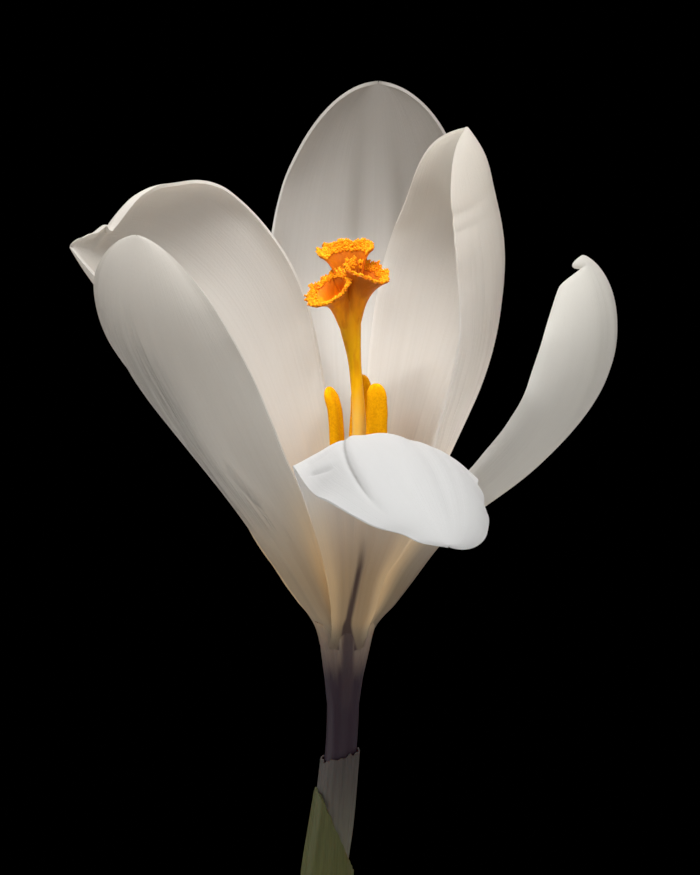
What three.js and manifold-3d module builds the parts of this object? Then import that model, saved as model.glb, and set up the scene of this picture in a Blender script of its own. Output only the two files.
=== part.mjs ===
// Potted crocus: one large white spring crocus in flower, growing from its corm in a small terracotta pot.
// Millimetres, Z up. The origin is the middle of the pot's underside; +X is right and -Y is the front.

import * as THREE from 'three';
import { mergeVertices } from 'three/addons/utils/BufferGeometryUtils.js';
import Module from 'manifold-3d';

// ---------------------------------------------------------------- driving dimensions (mm and degrees)

const GAP = 0.3;                    // left between pieces that touch

const POT = {
  height: 66,
  rimRadius: 36,
  bandHeight: 16.5,                 // the plain band round the top
  bandFootRadius: 34,               // the band's underside slopes out from here
  bandSlope: 1.1,                   // and meets its face this far inside the lip, this much higher
  baseRadius: 24.5,
  wallTopRadius: 32.2,              // where the wall under the band would reach the top
  wall: 4,
  wallTaper: 0.6,                   // how much thinner the wall gets on its way up
  floor: 4.5,
  corner: 1.5,                      // between floor and wall
  drainRadius: 5,
  edge: 1.2,                        // rounding of the lip and the foot
  sides: 48,
};

const SOIL = { level: 58, lump: 1, mound: 1.2, moundRadius: 13.4, sides: 40, rings: 7 };

const CORM = { radius: 11, height: 16, middle: 36, seat: 43, sides: 24 };

const THROAT = { x: 2, z: 110 };    // where the perianth tube opens into the petals
const SHAFT_PLAY = 0.45;            // room between the shoot and the hole it stands in
const SHOOT = { lean: 2.6, leanPower: 1.6 };   // the shoot drifts this far to the right on its way up

// Perianth tube: [distance below the throat, radius]
const TUBE = [[0.8, 2.0], [3, 1.85], [6, 1.7], [10, 1.4], [14, 1.1]];
const TUBE_ROOT_RADIUS = 1.0;
const TUBE_ROOT_STEPS = 5;          // rings of the plain tube below these stations
const TUBE_ROOT_STEP = 11.5;        // from one of those rings to the next

const SHEATH_WALL = 0.6;
const SHEATH_PLAY = GAP + 0.08;     // room for the flats of one tube to turn inside the other
// Each mouth is this far below the throat, and highest where it is facing
const PAPERY_SHEATH = { mouth: 10, tilt: 1.2, facing: 70 };
const GREEN_SHEATH = { mouth: 19, tilt: 4.6, facing: -80 };
// The basal sheath's mouth is given as a height
const BASAL_SHEATH = { mouth: 66.5, tilt: 1.8, facing: 40, wall: 0.65, radius: 4.75, flare: 4.6 };

const PETAL_THICKNESS = 0.66;
const PETAL_ROWS = 18;
const PETAL_COLUMNS = 10;
const ROW_CROWDING = 1.2;           // the rows of petals and leaves lie closer together towards the tip

// Each petal leaves the throat at an azimuth, 0 to the front and 90 to the right. lean is the angle of its
// midrib from upright, at even steps from claw to tip. sway turns its azimuth, drift bends it sideways in its
// own sheet, twist turns it about its midrib, and cup is the angle that each half curls in to its margin, all
// at even steps too. claw is the width of its foot and widest the place of its full width, as shares.
const PETALS = {
  back: {
    azimuth: 168, length: 50.4, halfWidth: 10.4, claw: 0.2, widest: 0.62, tip: [2, 2], root: 1.6,
    lean: [21, 18, 15, 10, 4, 1], sway: [-10, 0, 8], twist: [10, 4, 0],
    cupLeft: [52, 36, 28], cupRight: [70, 52, 36],
  },
  right_back: {
    azimuth: 111, length: 50, halfWidth: 11.8, claw: 0.21, widest: 0.67, tip: [2, 2.1], root: 1.6,
    lean: [20, 22, 22, 17, -5, -28], sway: [5, 0, -10], drift: [-2, -3, -3], twist: [5, 9, 7],
    cupLeft: [65, 80, 95], cupRight: [55, 62, 68],
  },
  right: {
    azimuth: 76, length: 44.8, halfWidth: 8.2, claw: 0.23, widest: 0.67, tip: [2.1, 1.8], root: 1.6,
    lean: [36, 35, 51, 38, 5, -36], sway: [8, 0, -10], drift: [-1, 5, 12], twist: [-10, -8, -7],
    cupLeft: [70, 62, 56], cupRight: [73, 57, 43],
  },
  front: {
    azimuth: 6.6, length: 50.3, halfWidth: 8.9, claw: 0.19, widest: 0.66, tip: [2.7, 1.8], root: 1.9,
    lean: [28, 19, 29, 72, 101, 123], sway: [-5, 4, 12], drift: [7, 0, -1], twist: [9, 5, -12, -17],
    cupLeft: [38, -7, -28, -49, -35], cupRight: [33, -2, -36, -45, -42],
  },
  left: {
    azimuth: -43, length: 47, halfWidth: 8.7, claw: 0.26, widest: 0.67, tip: [2.1, 1.9], root: 1.6,
    lean: [27, 33, 35, 31, 19, -24], sway: [-16, -14, -3], drift: [0, 0, -5], twist: [15, 7, 14],
    cupLeft: [40, 43, 39], cupRight: [69, 59, 51],
  },
  left_back: {
    azimuth: -107, length: 45.8, halfWidth: 13.1, claw: 0.2, widest: 0.78, tip: [1.8, 1.2], root: 1.9,
    lean: [5, 20, 29, 28, 46, 46], sway: [-1, 4, 14], drift: [-3, 7, 30], twist: [-14, -21, -24, -25],
    cupLeft: [57, 54, 55, 61, 83], cupRight: [67, 53, 65, 63, 59],
  },
};

// The throat's floor, which joins the petals' claws and carries the stamens
const FLOOR = { below: 0.5, above: 2.5, footRadius: 2.05, topRadius: 2.5 };

const STYLE_HOLE_RADIUS = 0.87;
// Style: [x, y, height above the throat, radius]
const STYLE = [
  [0, 0, -0.4, 0.5], [0.1, 0, 6, 0.5], [0.75, 0, 13, 0.5], [1.15, 0, 20, 0.5],
  [0.85, 0, 26, 0.53], [0.45, 0, 30, 0.97], [0.35, 0, 31.6, 0.9],
];
// Stigma branches: where each rim lies from the throat, the rim's half width and how far it is folded flat
const STIGMA_FORK = [0.45, 0, 29.6];
const STIGMA_BRANCHES = [
  { rim: [0.05, 1.5, 37.2], radius: 2.4, flat: 0.75, turn: 0 },
  { rim: [-1.75, -1.0, 34.0], radius: 2.35, flat: 0.7, turn: 40 },
  { rim: [2.1, -0.8, 35.4], radius: 2.05, flat: 0.8, turn: -30 },
];
const STIGMA_WALL = 0.6;
const STIGMA_FOOT_RADIUS = 0.7;
const STIGMA_FLARE = 2.4;           // how late a branch widens
const STIGMA_BOTTOM = 0.66;         // how far up its hollow starts, as a share
const STIGMA_FRILLS = 7;

const FILAMENT_RADIUS = 0.35;
const FILAMENT_FOOT_RING = 1.25;    // distance of the filaments' feet from the middle of the throat
const ANTHER = { halfWidth: 1, depth: 0.62, groove: 0.3 };
// Stamens: azimuth of the foot, and [x, y, height above the throat] of the anther's base and tip. turn is how
// far the anther's broad face is turned away from the front.
const STAMENS = {
  left: { azimuth: -105, base: [-0.85, -1.05, 12.6], tip: [-1.5, -0.95, 24.4], turn: 75 },
  right: { azimuth: 60, base: [2.45, -1.25, 12.9], tip: [2.75, -1.45, 24.9], turn: 0 },
  back: { azimuth: 155, base: [1.1, 1.95, 12.8], tip: [1.5, 2.25, 24.6], turn: 0 },
};

const LEAF_THICKNESS = 0.65;
const LEAF_ROWS = 16;
const LEAF_COLUMNS = 4;
const LEAF_RING = 3.95;             // distance of the leaves' feet from the middle of the shoot
const LEAF_BLADE = { claw: 0.38, widest: 0.62, tip: [2.4, 1.2], root: LEAF_RING, cupLeft: [56, 46, 36] };
const LEAVES = [
  { azimuth: 18, length: 50, halfWidth: 2.2, lean: [4, 3, 5, 18, 38, 60], sway: [0, 2, 10] },
  { azimuth: 70, length: 58, halfWidth: 2.35, lean: [4, 3, 6, 40, 70, 94], sway: [0, 0, -12] },
  { azimuth: 122, length: 57, halfWidth: 2.3, lean: [4, 3, 5, 70, 94, 108], sway: [0, 3, 12] },
  { azimuth: 174, length: 48, halfWidth: 2.05, lean: [4, 3, 3, 62, 90, 98], sway: [0, 2, 12] },
  { azimuth: 226, length: 58, halfWidth: 2.4, lean: [4, 3, 4, 68, 96, 112], sway: [0, 4, 10] },
  { azimuth: 278, length: 57, halfWidth: 2.3, lean: [4, 3, 6, 38, 72, 98], sway: [0, 4, 16] },
  { azimuth: 327, length: 46, halfWidth: 2.1, lean: [4, 3, 3, 22, 46, 72], sway: [0, -5, -14] },
];

// ---------------------------------------------------------------- materials

const terracotta = new THREE.MeshStandardMaterial({ color: 0xb5694a, roughness: 0.9, metalness: 0 });
const pottingSoil = new THREE.MeshStandardMaterial({ color: 0x33251c, roughness: 1, metalness: 0 });
const cormTunic = new THREE.MeshStandardMaterial({ color: 0x8a6543, roughness: 0.85, metalness: 0 });
const whitePetal = new THREE.MeshStandardMaterial({ color: 0xeeebe4, roughness: 0.55, metalness: 0 });
const purpleTube = new THREE.MeshStandardMaterial({ color: 0x5a3f56, roughness: 0.5, metalness: 0 });
const paperyWhite = new THREE.MeshStandardMaterial({ color: 0xcfcbb8, roughness: 0.7, metalness: 0 });
const sheathGreen = new THREE.MeshStandardMaterial({ color: 0x7c8a4a, roughness: 0.6, metalness: 0 });
const leafGreen = new THREE.MeshStandardMaterial({ color: 0x3f6a2c, roughness: 0.5, metalness: 0 });
const stigmaOrange = new THREE.MeshStandardMaterial({ color: 0xec7a12, roughness: 0.5, metalness: 0 });
const antherYellow = new THREE.MeshStandardMaterial({ color: 0xe39a08, roughness: 0.7, metalness: 0 });

// ---------------------------------------------------------------- shared geometry

const rad = THREE.MathUtils.degToRad;
const footZ = CORM.seat + GAP;      // the shoot's pieces stand here, on the corm

// A smooth value through evenly spaced ones, at a share t of the way along
function along(values, t) {
  const last = values.length - 1;
  const place = THREE.MathUtils.clamp(t, 0, 1) * last;
  const i = Math.min(Math.floor(place), last - 1);
  const [b, c] = [values[i], values[i + 1]];
  const a = i > 0 ? values[i - 1] : 2 * b - c;
  const d = i < last - 1 ? values[i + 2] : 2 * c - b;
  const f = place - i;
  return b + 0.5 * f * (c - a + f * (2 * a - 5 * b + 4 * c - d + f * (3 * (b - c) + d - a)));
}

// How far right of the corm the shoot has drifted at a height
function shootX(z) {
  const share = THREE.MathUtils.clamp((z - footZ) / (THROAT.z - footZ), 0, 1);
  return THROAT.x - SHOOT.lean * (1 - share ** SHOOT.leanPower);
}

// Merge the shared vertices, and turn the faces outwards
function closed(geometry) {
  geometry.deleteAttribute('normal');
  geometry.deleteAttribute('uv');
  const merged = mergeVertices(geometry, 1e-5);
  const position = merged.getAttribute('position');
  const index = merged.getIndex();
  const [a, b, c] = [new THREE.Vector3(), new THREE.Vector3(), new THREE.Vector3()];
  const kept = [];
  let volume = 0;
  for (let i = 0; i < index.count; i += 3) {
    const corners = [index.getX(i), index.getX(i + 1), index.getX(i + 2)];
    if (new Set(corners).size < 3) continue;
    kept.push(corners);
    [a, b, c].forEach((vertex, k) => vertex.fromBufferAttribute(position, corners[k]));
    volume += a.dot(b.cross(c));
  }
  merged.setIndex(kept.flatMap((corners) => (volume < 0 ? corners.reverse() : corners)));
  return merged;
}

// A profile of [radius, height] turned about Z
function turned(profile, sides) {
  const points = profile.map(([radius, height]) => new THREE.Vector2(radius, height));
  return closed(new THREE.LatheGeometry(points, sides).rotateX(Math.PI / 2));
}

// Move every vertex by a function that changes the point it is given
function reshaped(geometry, change) {
  const position = geometry.getAttribute('position');
  const point = new THREE.Vector3();
  for (let i = 0; i < position.count; i++) {
    change(point.fromBufferAttribute(position, i));
    position.setXYZ(i, point.x, point.y, point.z);
  }
  return geometry;
}

const wasm = await Module();
wasm.setup();

function solid(geometry) {
  const vertProperties = new Float32Array(geometry.getAttribute('position').array);
  const triVerts = new Uint32Array(geometry.getIndex().array);
  return new wasm.Manifold(new wasm.Mesh({ numProp: 3, vertProperties, triVerts }));
}

function fromSolid(manifold) {
  const { numProp, vertProperties, triVerts } = manifold.getMesh();
  const geometry = new THREE.BufferGeometry();
  const positions = [];
  for (let i = 0; i < vertProperties.length; i += numProp) positions.push(...vertProperties.slice(i, i + 3));
  geometry.setAttribute('position', new THREE.Float32BufferAttribute(positions, 3));
  geometry.setIndex([...triVerts]);
  return geometry;
}

function joined(geometries) {
  return fromSolid(geometries.map(solid).reduce((body, piece) => body.add(piece)));
}

// ---------------------------------------------------------------- blades: petals and leaves

// The midrib as evenly spaced stations, each with its place, its direction and the way to its right margin
function midrib(blade, steps) {
  const none = [0, 0, 0];
  const start = rad(blade.azimuth);
  const place = new THREE.Vector3(Math.sin(start), -Math.cos(start), 0).multiplyScalar(blade.root);
  const stations = [];
  for (let i = 0; i <= steps; i++) {
    const t = i / steps;
    const lean = rad(along(blade.lean, t));
    const azimuth = start + rad(along(blade.sway ?? none, t));
    const drift = rad(along(blade.drift ?? none, t));
    const ahead = new THREE.Vector3(
      Math.sin(lean) * Math.sin(azimuth), -Math.sin(lean) * Math.cos(azimuth), Math.cos(lean));
    const across = new THREE.Vector3(Math.cos(azimuth), Math.sin(azimuth), 0);
    const direction = ahead.clone().multiplyScalar(Math.cos(drift)).addScaledVector(across, Math.sin(drift));
    const breadth = across.multiplyScalar(Math.cos(drift)).addScaledVector(ahead, -Math.sin(drift));
    if (i > 0) {
      const step = blade.length / steps / 2;
      place.addScaledVector(stations[i - 1].direction, step).addScaledVector(direction, step);
    }
    stations.push({ place: place.clone(), direction, breadth });
  }
  return stations;
}

// Half the width at a share u of the way up: it swells from the claw to its widest, then rounds to the tip
function halfWidth(blade, u) {
  if (u < blade.widest) {
    const rise = u / blade.widest;
    return blade.halfWidth * (blade.claw + (1 - blade.claw) * rise * rise * (3 - 2 * rise));
  }
  const fall = (u - blade.widest) / (1 - blade.widest);
  return blade.halfWidth * (1 - fall ** blade.tip[0]) ** (1 / blade.tip[1]);
}

// The blade's middle sheet as rows of points, each row an arc from the left margin to the right one
function sheet(blade, rows, columns) {
  const fineness = 6;
  const steps = rows * fineness;
  const stations = midrib(blade, steps);
  const sheetRows = [];
  for (let i = 0; i <= rows; i++) {
    const u = 1 - (1 - i / rows) ** ROW_CROWDING;
    const at = u * steps;
    const low = Math.min(Math.floor(at), steps - 1);
    const [from, to] = [stations[low], stations[low + 1]];
    const place = from.place.clone().lerp(to.place, at - low);
    const ahead = from.direction.clone().lerp(to.direction, at - low).normalize();
    const inward = ahead.clone().cross(from.breadth.clone().lerp(to.breadth, at - low)).normalize();
    const breadth = inward.clone().cross(ahead);
    const twist = rad(along(blade.twist ?? [0, 0, 0], u));
    const across = breadth.clone().multiplyScalar(Math.cos(twist)).addScaledVector(inward, Math.sin(twist));
    const up = inward.clone().multiplyScalar(Math.cos(twist)).addScaledVector(breadth, -Math.sin(twist));
    const half = Math.max(halfWidth(blade, u), 0.3);
    const row = [];
    for (let j = 0; j <= columns; j++) {
      const v = -1 + (2 * j) / columns;
      const cup = rad(along((v < 0 ? blade.cupLeft : blade.cupRight) ?? blade.cupLeft, u)) || 1e-4;
      const turn = cup * Math.abs(v);
      row.push(place.clone()
        .addScaledVector(across, (Math.sign(v) * half * Math.sin(turn)) / cup)
        .addScaledVector(up, (half * (1 - Math.cos(turn))) / cup));
    }
    sheetRows.push(row);
  }
  return sheetRows;
}

// A closed solid of even thickness about a sheet, both faces split into triangles alike
function thickened(rows, thickness) {
  const lastRow = rows.length - 1;
  const lastColumn = rows[0].length - 1;
  const faces = [[], []];
  for (let i = 0; i <= lastRow; i++) {
    for (let j = 0; j <= lastColumn; j++) {
      const up = rows[Math.min(i + 1, lastRow)][j].clone().sub(rows[Math.max(i - 1, 0)][j]);
      const across = rows[i][Math.min(j + 1, lastColumn)].clone().sub(rows[i][Math.max(j - 1, 0)]);
      const normal = up.cross(across).normalize().multiplyScalar(thickness / 2);
      faces[0].push(rows[i][j].clone().add(normal));
      faces[1].push(rows[i][j].clone().sub(normal));
    }
  }
  const inner = (i, j) => i * (lastColumn + 1) + j;
  const outer = (i, j) => inner(i, j) + faces[0].length;
  const triangles = [];
  const quad = (a, b, c, d) => triangles.push(a, b, c, a, c, d);
  for (let i = 0; i < lastRow; i++) {
    for (let j = 0; j < lastColumn; j++) {
      quad(inner(i, j), inner(i + 1, j), inner(i + 1, j + 1), inner(i, j + 1));
      triangles.push(outer(i, j), outer(i + 1, j + 1), outer(i + 1, j));
      triangles.push(outer(i, j), outer(i, j + 1), outer(i + 1, j + 1));
    }
    quad(inner(i, 0), outer(i, 0), outer(i + 1, 0), inner(i + 1, 0));
    quad(inner(i, lastColumn), inner(i + 1, lastColumn), outer(i + 1, lastColumn), outer(i, lastColumn));
  }
  for (let j = 0; j < lastColumn; j++) {
    quad(inner(0, j), inner(0, j + 1), outer(0, j + 1), outer(0, j));
    quad(inner(lastRow, j), outer(lastRow, j), outer(lastRow, j + 1), inner(lastRow, j + 1));
  }
  const geometry = new THREE.BufferGeometry();
  const positions = faces.flat().flatMap((point) => point.toArray());
  geometry.setAttribute('position', new THREE.Float32BufferAttribute(positions, 3));
  geometry.setIndex(triangles);
  return closed(geometry);
}

// ---------------------------------------------------------------- pot, soil and corm

// Outer radius of the plain wall under the band, at a height
function potWallRadius(z) {
  return THREE.MathUtils.mapLinear(z, 0, POT.height, POT.baseRadius, POT.wallTopRadius);
}

function potInnerRadius(z) {
  return potWallRadius(z) - POT.wall + (z / POT.height) * POT.wallTaper;
}

function pot() {
  const { height, rimRadius, bandFootRadius, bandSlope, baseRadius, floor, corner, drainRadius, edge } = POT;
  const bandFoot = height - POT.bandHeight;
  return turned([
    [drainRadius, 0],
    [baseRadius - edge, 0],
    [baseRadius, edge],
    [potWallRadius(bandFoot - 1), bandFoot - 1],
    [bandFootRadius, bandFoot],
    [rimRadius - bandSlope, bandFoot + bandSlope],
    [rimRadius, height - edge * 1.6],
    [rimRadius - edge * 0.5, height - edge * 0.4],
    [rimRadius - edge * 1.5, height],
    [potInnerRadius(height) + edge, height],
    [potInnerRadius(height) + edge * 0.2, height - edge * 0.4],
    [potInnerRadius(height - edge * 1.6), height - edge * 1.6],
    [potInnerRadius(floor + 2), floor + 2],
    [potInnerRadius(floor) - corner, floor],
    [drainRadius, floor],
    [drainRadius, 0],
  ], POT.sides);
}

// The corm's round outline from its base up to its flat seat, grown all round by a clearance
function cormOutline(clearance) {
  const steps = 10;
  const halfHeight = CORM.height / 2 + clearance;
  const seatAngle = Math.asin((CORM.seat + clearance - CORM.middle) / halfHeight);
  const outline = [];
  for (let i = 0; i <= steps; i++) {
    const angle = THREE.MathUtils.lerp(-Math.PI / 2, seatAngle, i / steps);
    const radius = i === 0 ? 0 : (CORM.radius + clearance) * Math.cos(angle);
    outline.push([radius, CORM.middle + halfHeight * Math.sin(angle)]);
  }
  return outline;
}

function corm() {
  return leanWithShoot(turned([...cormOutline(0), [0, CORM.seat]], CORM.sides));
}

// Lumps of potting soil, higher round the shoot
function soilHeight(x, y) {
  const lumps = Math.sin(x * 0.42 + 1) * Math.cos(y * 0.37) + 0.6 * Math.sin(x * 0.21 - y * 0.55 + 2);
  const fromMiddle = (x * x + y * y) / SOIL.moundRadius ** 2;
  return SOIL.level + SOIL.lump * lumps + SOIL.mound * Math.exp(-fromMiddle);
}

function soil() {
  const bottom = POT.floor + GAP;
  const edgeRadius = potInnerRadius(SOIL.level) - GAP;
  const footRadius = potInnerRadius(POT.floor) - POT.corner - GAP;
  const profile = [[0, bottom], [footRadius, bottom], [edgeRadius, SOIL.level]];
  for (let i = SOIL.rings - 1; i >= 0; i--) profile.push([(edgeRadius * i) / SOIL.rings, SOIL.level]);
  const heap = reshaped(turned(profile, SOIL.sides), (point) => {
    const radius = Math.hypot(point.x, point.y);
    if (point.z < SOIL.level - 1) return;
    point.z = radius > edgeRadius - 0.5 ? SOIL.level : soilHeight(point.x, point.y);
  });
  const shaftSteps = 4;
  const shaft = Array.from({ length: shaftSteps + 1 }, (_, i) => {
    const z = THREE.MathUtils.lerp(CORM.seat, POT.height, i / shaftSteps);
    return [basalRadius(z) + SHAFT_PLAY, z];
  });
  const cormBed = cormOutline(GAP).slice(0, -1);
  const burrow = leanWithShoot(turned([...cormBed, ...shaft, [0, POT.height]], CORM.sides));
  return fromSolid(solid(heap).subtract(solid(burrow)));
}

// ---------------------------------------------------------------- shoot: tube and sheaths

// Outer radius of the sheath that stands round the leaves' feet, at a height
function basalRadius(z) {
  return BASAL_SHEATH.radius + BASAL_SHEATH.wall + Math.tan(rad(BASAL_SHEATH.flare)) * (z - footZ);
}

function tubeRadius(z) {
  const below = THROAT.z - z;
  const next = TUBE.findIndex(([distance]) => distance >= below);
  if (next < 0) return TUBE_ROOT_RADIUS;
  if (next === 0) return TUBE[0][1];
  const [[d0, r0], [d1, r1]] = [TUBE[next - 1], TUBE[next]];
  return THREE.MathUtils.mapLinear(below, d0, d1, r0, r1);
}

function leanWithShoot(geometry) {
  return reshaped(geometry, (point) => { point.x += shootX(point.z); });
}

function flowerTube() {
  const lowHeights = Array.from({ length: TUBE_ROOT_STEPS }, (_, i) => footZ + TUBE_ROOT_STEP * i);
  const heights = [...lowHeights, ...TUBE.map(([distance]) => THROAT.z - distance).reverse()];
  const top = heights.at(-1);
  const profile = [[0, footZ], ...heights.map((z) => [tubeRadius(z), z]), [0, top]];
  return leanWithShoot(turned(profile, 16));
}

// A thin tube with an oblique mouth: innerRadius(z) is its bore, and its wall stands outside that
function sheath(innerRadius, wall, mouth, tilt, facing, sides) {
  const steps = 9;
  const crowding = 1.7;             // the rings lie closer together towards the mouth
  const share = (i) => 1 - (1 - i / steps) ** crowding;
  const heights = Array.from({ length: steps + 1 }, (_, i) => footZ + (mouth - footZ) * share(i));
  const outside = heights.map((z) => [innerRadius(z) + wall, z]);
  const inside = heights.map((z) => [innerRadius(z), z]).reverse();
  const tube = turned([...outside, ...inside, outside[0]], sides);
  return leanWithShoot(reshaped(tube, (point) => {
    const azimuth = Math.atan2(point.x, -point.y) - rad(facing);
    const before = point.z;
    point.z += tilt * Math.cos(azimuth) * ((before - footZ) / (mouth - footZ)) ** 3;
    const radius = Math.hypot(point.x, point.y);
    const grown = radius + innerRadius(point.z) - innerRadius(before);
    point.x *= grown / radius;
    point.y *= grown / radius;
  }));
}

const paperyBore = (z) => tubeRadius(z) + SHEATH_PLAY;
const greenBore = (z) => paperyBore(z) + SHEATH_WALL + SHEATH_PLAY;
const basalBore = (z) => basalRadius(z) - BASAL_SHEATH.wall;

function paperySheath() {
  const { mouth, tilt, facing } = PAPERY_SHEATH;
  return sheath(paperyBore, SHEATH_WALL, THROAT.z - mouth, tilt, facing, 18);
}

function greenSheath() {
  const { mouth, tilt, facing } = GREEN_SHEATH;
  return sheath(greenBore, SHEATH_WALL, THROAT.z - mouth, tilt, facing, 20);
}

function basalSheath() {
  const { mouth, tilt, facing, wall } = BASAL_SHEATH;
  return sheath(basalBore, wall, mouth, tilt, facing, 24);
}

function leaf(shape) {
  const blade = { ...LEAF_BLADE, ...shape };
  return thickened(sheet(blade, LEAF_ROWS, LEAF_COLUMNS), LEAF_THICKNESS).translate(shootX(footZ), 0, footZ);
}

// ---------------------------------------------------------------- flower

function onThroat(geometry) {
  return geometry.translate(THROAT.x, 0, THROAT.z);
}

function bloom() {
  const { below, above, footRadius, topRadius } = FLOOR;
  const throatFloor = turned([
    [STYLE_HOLE_RADIUS, -below],
    [footRadius, -below],
    [topRadius, above],
    [STYLE_HOLE_RADIUS, above],
    [STYLE_HOLE_RADIUS, -below],
  ], 24);
  const petals = Object.values(PETALS).map((petal) => (
    thickened(sheet(petal, PETAL_ROWS, PETAL_COLUMNS), PETAL_THICKNESS)));
  return onThroat(joined([throatFloor, ...petals]));
}

// Bend a body that was turned about Z so that it follows a curve, its height running along the curve
function alongCurve(geometry, curve, height) {
  return reshaped(geometry, (point) => {
    const t = THREE.MathUtils.clamp(point.z / height, 0, 1);
    const side = new THREE.Vector3(0, 1, 0).cross(curve.getTangentAt(t)).normalize();
    const front = curve.getTangentAt(t).cross(side);
    const { x, y } = point;
    point.copy(curve.getPointAt(t)).addScaledVector(side, x).addScaledVector(front, y);
  });
}

const curveThrough = (points) => new THREE.CatmullRomCurve3(points.map((p) => new THREE.Vector3(...p)));

function style() {
  const curve = curveThrough(STYLE.map(([x, y, z]) => [x, y, z]));
  const height = curve.getLength();
  const radii = STYLE.map((station) => station[3]);
  const steps = 12;
  const profile = [[0, 0]];
  for (let i = 0; i <= steps; i++) profile.push([along(radii, i / steps), (height * i) / steps]);
  profile.push([0, height]);
  return alongCurve(turned(profile, 12), curve, height);
}

// One branch of the stigma: a thin-walled trumpet with a frilled rim, narrow where it leaves the style
function stigmaBranch({ rim, radius, flat, turn }) {
  const fork = new THREE.Vector3(...STIGMA_FORK);
  const reach = new THREE.Vector3(...rim).sub(fork);
  const length = reach.length();
  const flare = (share) => STIGMA_FOOT_RADIUS + (radius - STIGMA_FOOT_RADIUS) * share ** STIGMA_FLARE;
  const outside = [0, 0.3, 0.5, 0.65, 0.78, 0.9, 1].map((share) => [flare(share), share * length]);
  const inside = [1, 0.88, 0.74].map((share) => [flare(share) - STIGMA_WALL, share * length]);
  const trumpet = turned([[0, 0], ...outside, ...inside, [0, length * STIGMA_BOTTOM]], 21);
  reshaped(trumpet, (point) => {
    const azimuth = Math.atan2(point.y, point.x);
    const share = THREE.MathUtils.clamp(point.z / length, 0, 1) ** 4;
    const frill = Math.cos(STIGMA_FRILLS * azimuth) * share;
    point.z += 0.3 * frill + 0.5 * share * Math.sin(2 * azimuth);
    point.x *= 1 + 0.06 * frill;
    point.y *= (1 + 0.06 * frill) * (1 + (flat - 1) * share);
  });
  const upright = new THREE.Vector3(0, 0, 1);
  const tilt = new THREE.Quaternion().setFromUnitVectors(upright, reach.normalize());
  return trumpet.rotateZ(rad(turn)).applyQuaternion(tilt).translate(fork.x, fork.y, fork.z);
}

function pistil() {
  return onThroat(joined([style(), ...STIGMA_BRANCHES.map(stigmaBranch)]));
}

// A filament that widens into an anther with a groove down its face
function stamen({ azimuth, base, tip, turn }) {
  const foot = new THREE.Vector3(Math.sin(rad(azimuth)), -Math.cos(rad(azimuth)), 0)
    .multiplyScalar(FILAMENT_FOOT_RING).setZ(FLOOR.above + GAP);
  const antherFoot = new THREE.Vector3(...base);
  const top = new THREE.Vector3(...tip);
  const curve = new THREE.CatmullRomCurve3([foot, antherFoot, top.clone().lerp(antherFoot, 0.5), top]);
  const height = curve.getLength();
  const join = 1 - top.distanceTo(antherFoot) / height;
  const swelling = (share) => Math.sin(Math.PI * THREE.MathUtils.clamp(share, 0, 1) ** 0.8) ** 0.45;
  const profile = [[0, 0]];
  for (const share of [0, 0.5, 1]) profile.push([FILAMENT_RADIUS, share * join * height * 0.97]);
  const shares = [0.04, 0.12, 0.25, 0.4, 0.55, 0.7, 0.82, 0.91, 0.97];
  for (const share of shares) {
    const radius = Math.max(FILAMENT_RADIUS, ANTHER.halfWidth * swelling(share));
    profile.push([radius, height * (join + (1 - join) * share)]);
  }
  profile.push([0, height]);
  const body = reshaped(turned(profile, 12), (point) => {
    const share = THREE.MathUtils.smoothstep(point.z / height, join, join + 0.1);
    const angle = Math.atan2(point.y, point.x);
    const groove = 1 - ANTHER.groove * share * Math.abs(Math.sin(angle)) ** 6;
    point.x *= groove;
    point.y *= groove * (1 + share * (ANTHER.depth / ANTHER.halfWidth - 1));
  });
  return onThroat(alongCurve(body.rotateZ(rad(turn)), curve, height));
}

// ---------------------------------------------------------------- assembly

const group = new THREE.Group();
group.name = 'potted_crocus';

function place(name, geometry, material) {
  const mesh = new THREE.Mesh(geometry, material);
  mesh.name = name;
  group.add(mesh);
}

place('pot', pot(), terracotta);
place('soil', soil(), pottingSoil);
place('corm', corm(), cormTunic);
place('flower_tube', flowerTube(), purpleTube);
place('papery_sheath', paperySheath(), paperyWhite);
place('green_sheath', greenSheath(), sheathGreen);
place('basal_sheath', basalSheath(), paperyWhite);
LEAVES.forEach((shape, i) => place(`leaf_${i + 1}`, leaf(shape), leafGreen));
place('bloom', bloom(), whitePetal);
place('pistil', pistil(), stigmaOrange);
for (const [side, shape] of Object.entries(STAMENS)) place(`stamen_${side}`, stamen(shape), antherYellow);

export default group;
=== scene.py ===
"""A white spring crocus in flower, growing from its corm in a small terracotta pot.

Every piece is modelled in millimetres, in the frame's place, and taken to metres when it is finished.
+Z is up, +X is right and -Y is the front.
"""

import math
import random

import bpy
from mathutils import Matrix, Vector, noise


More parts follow.
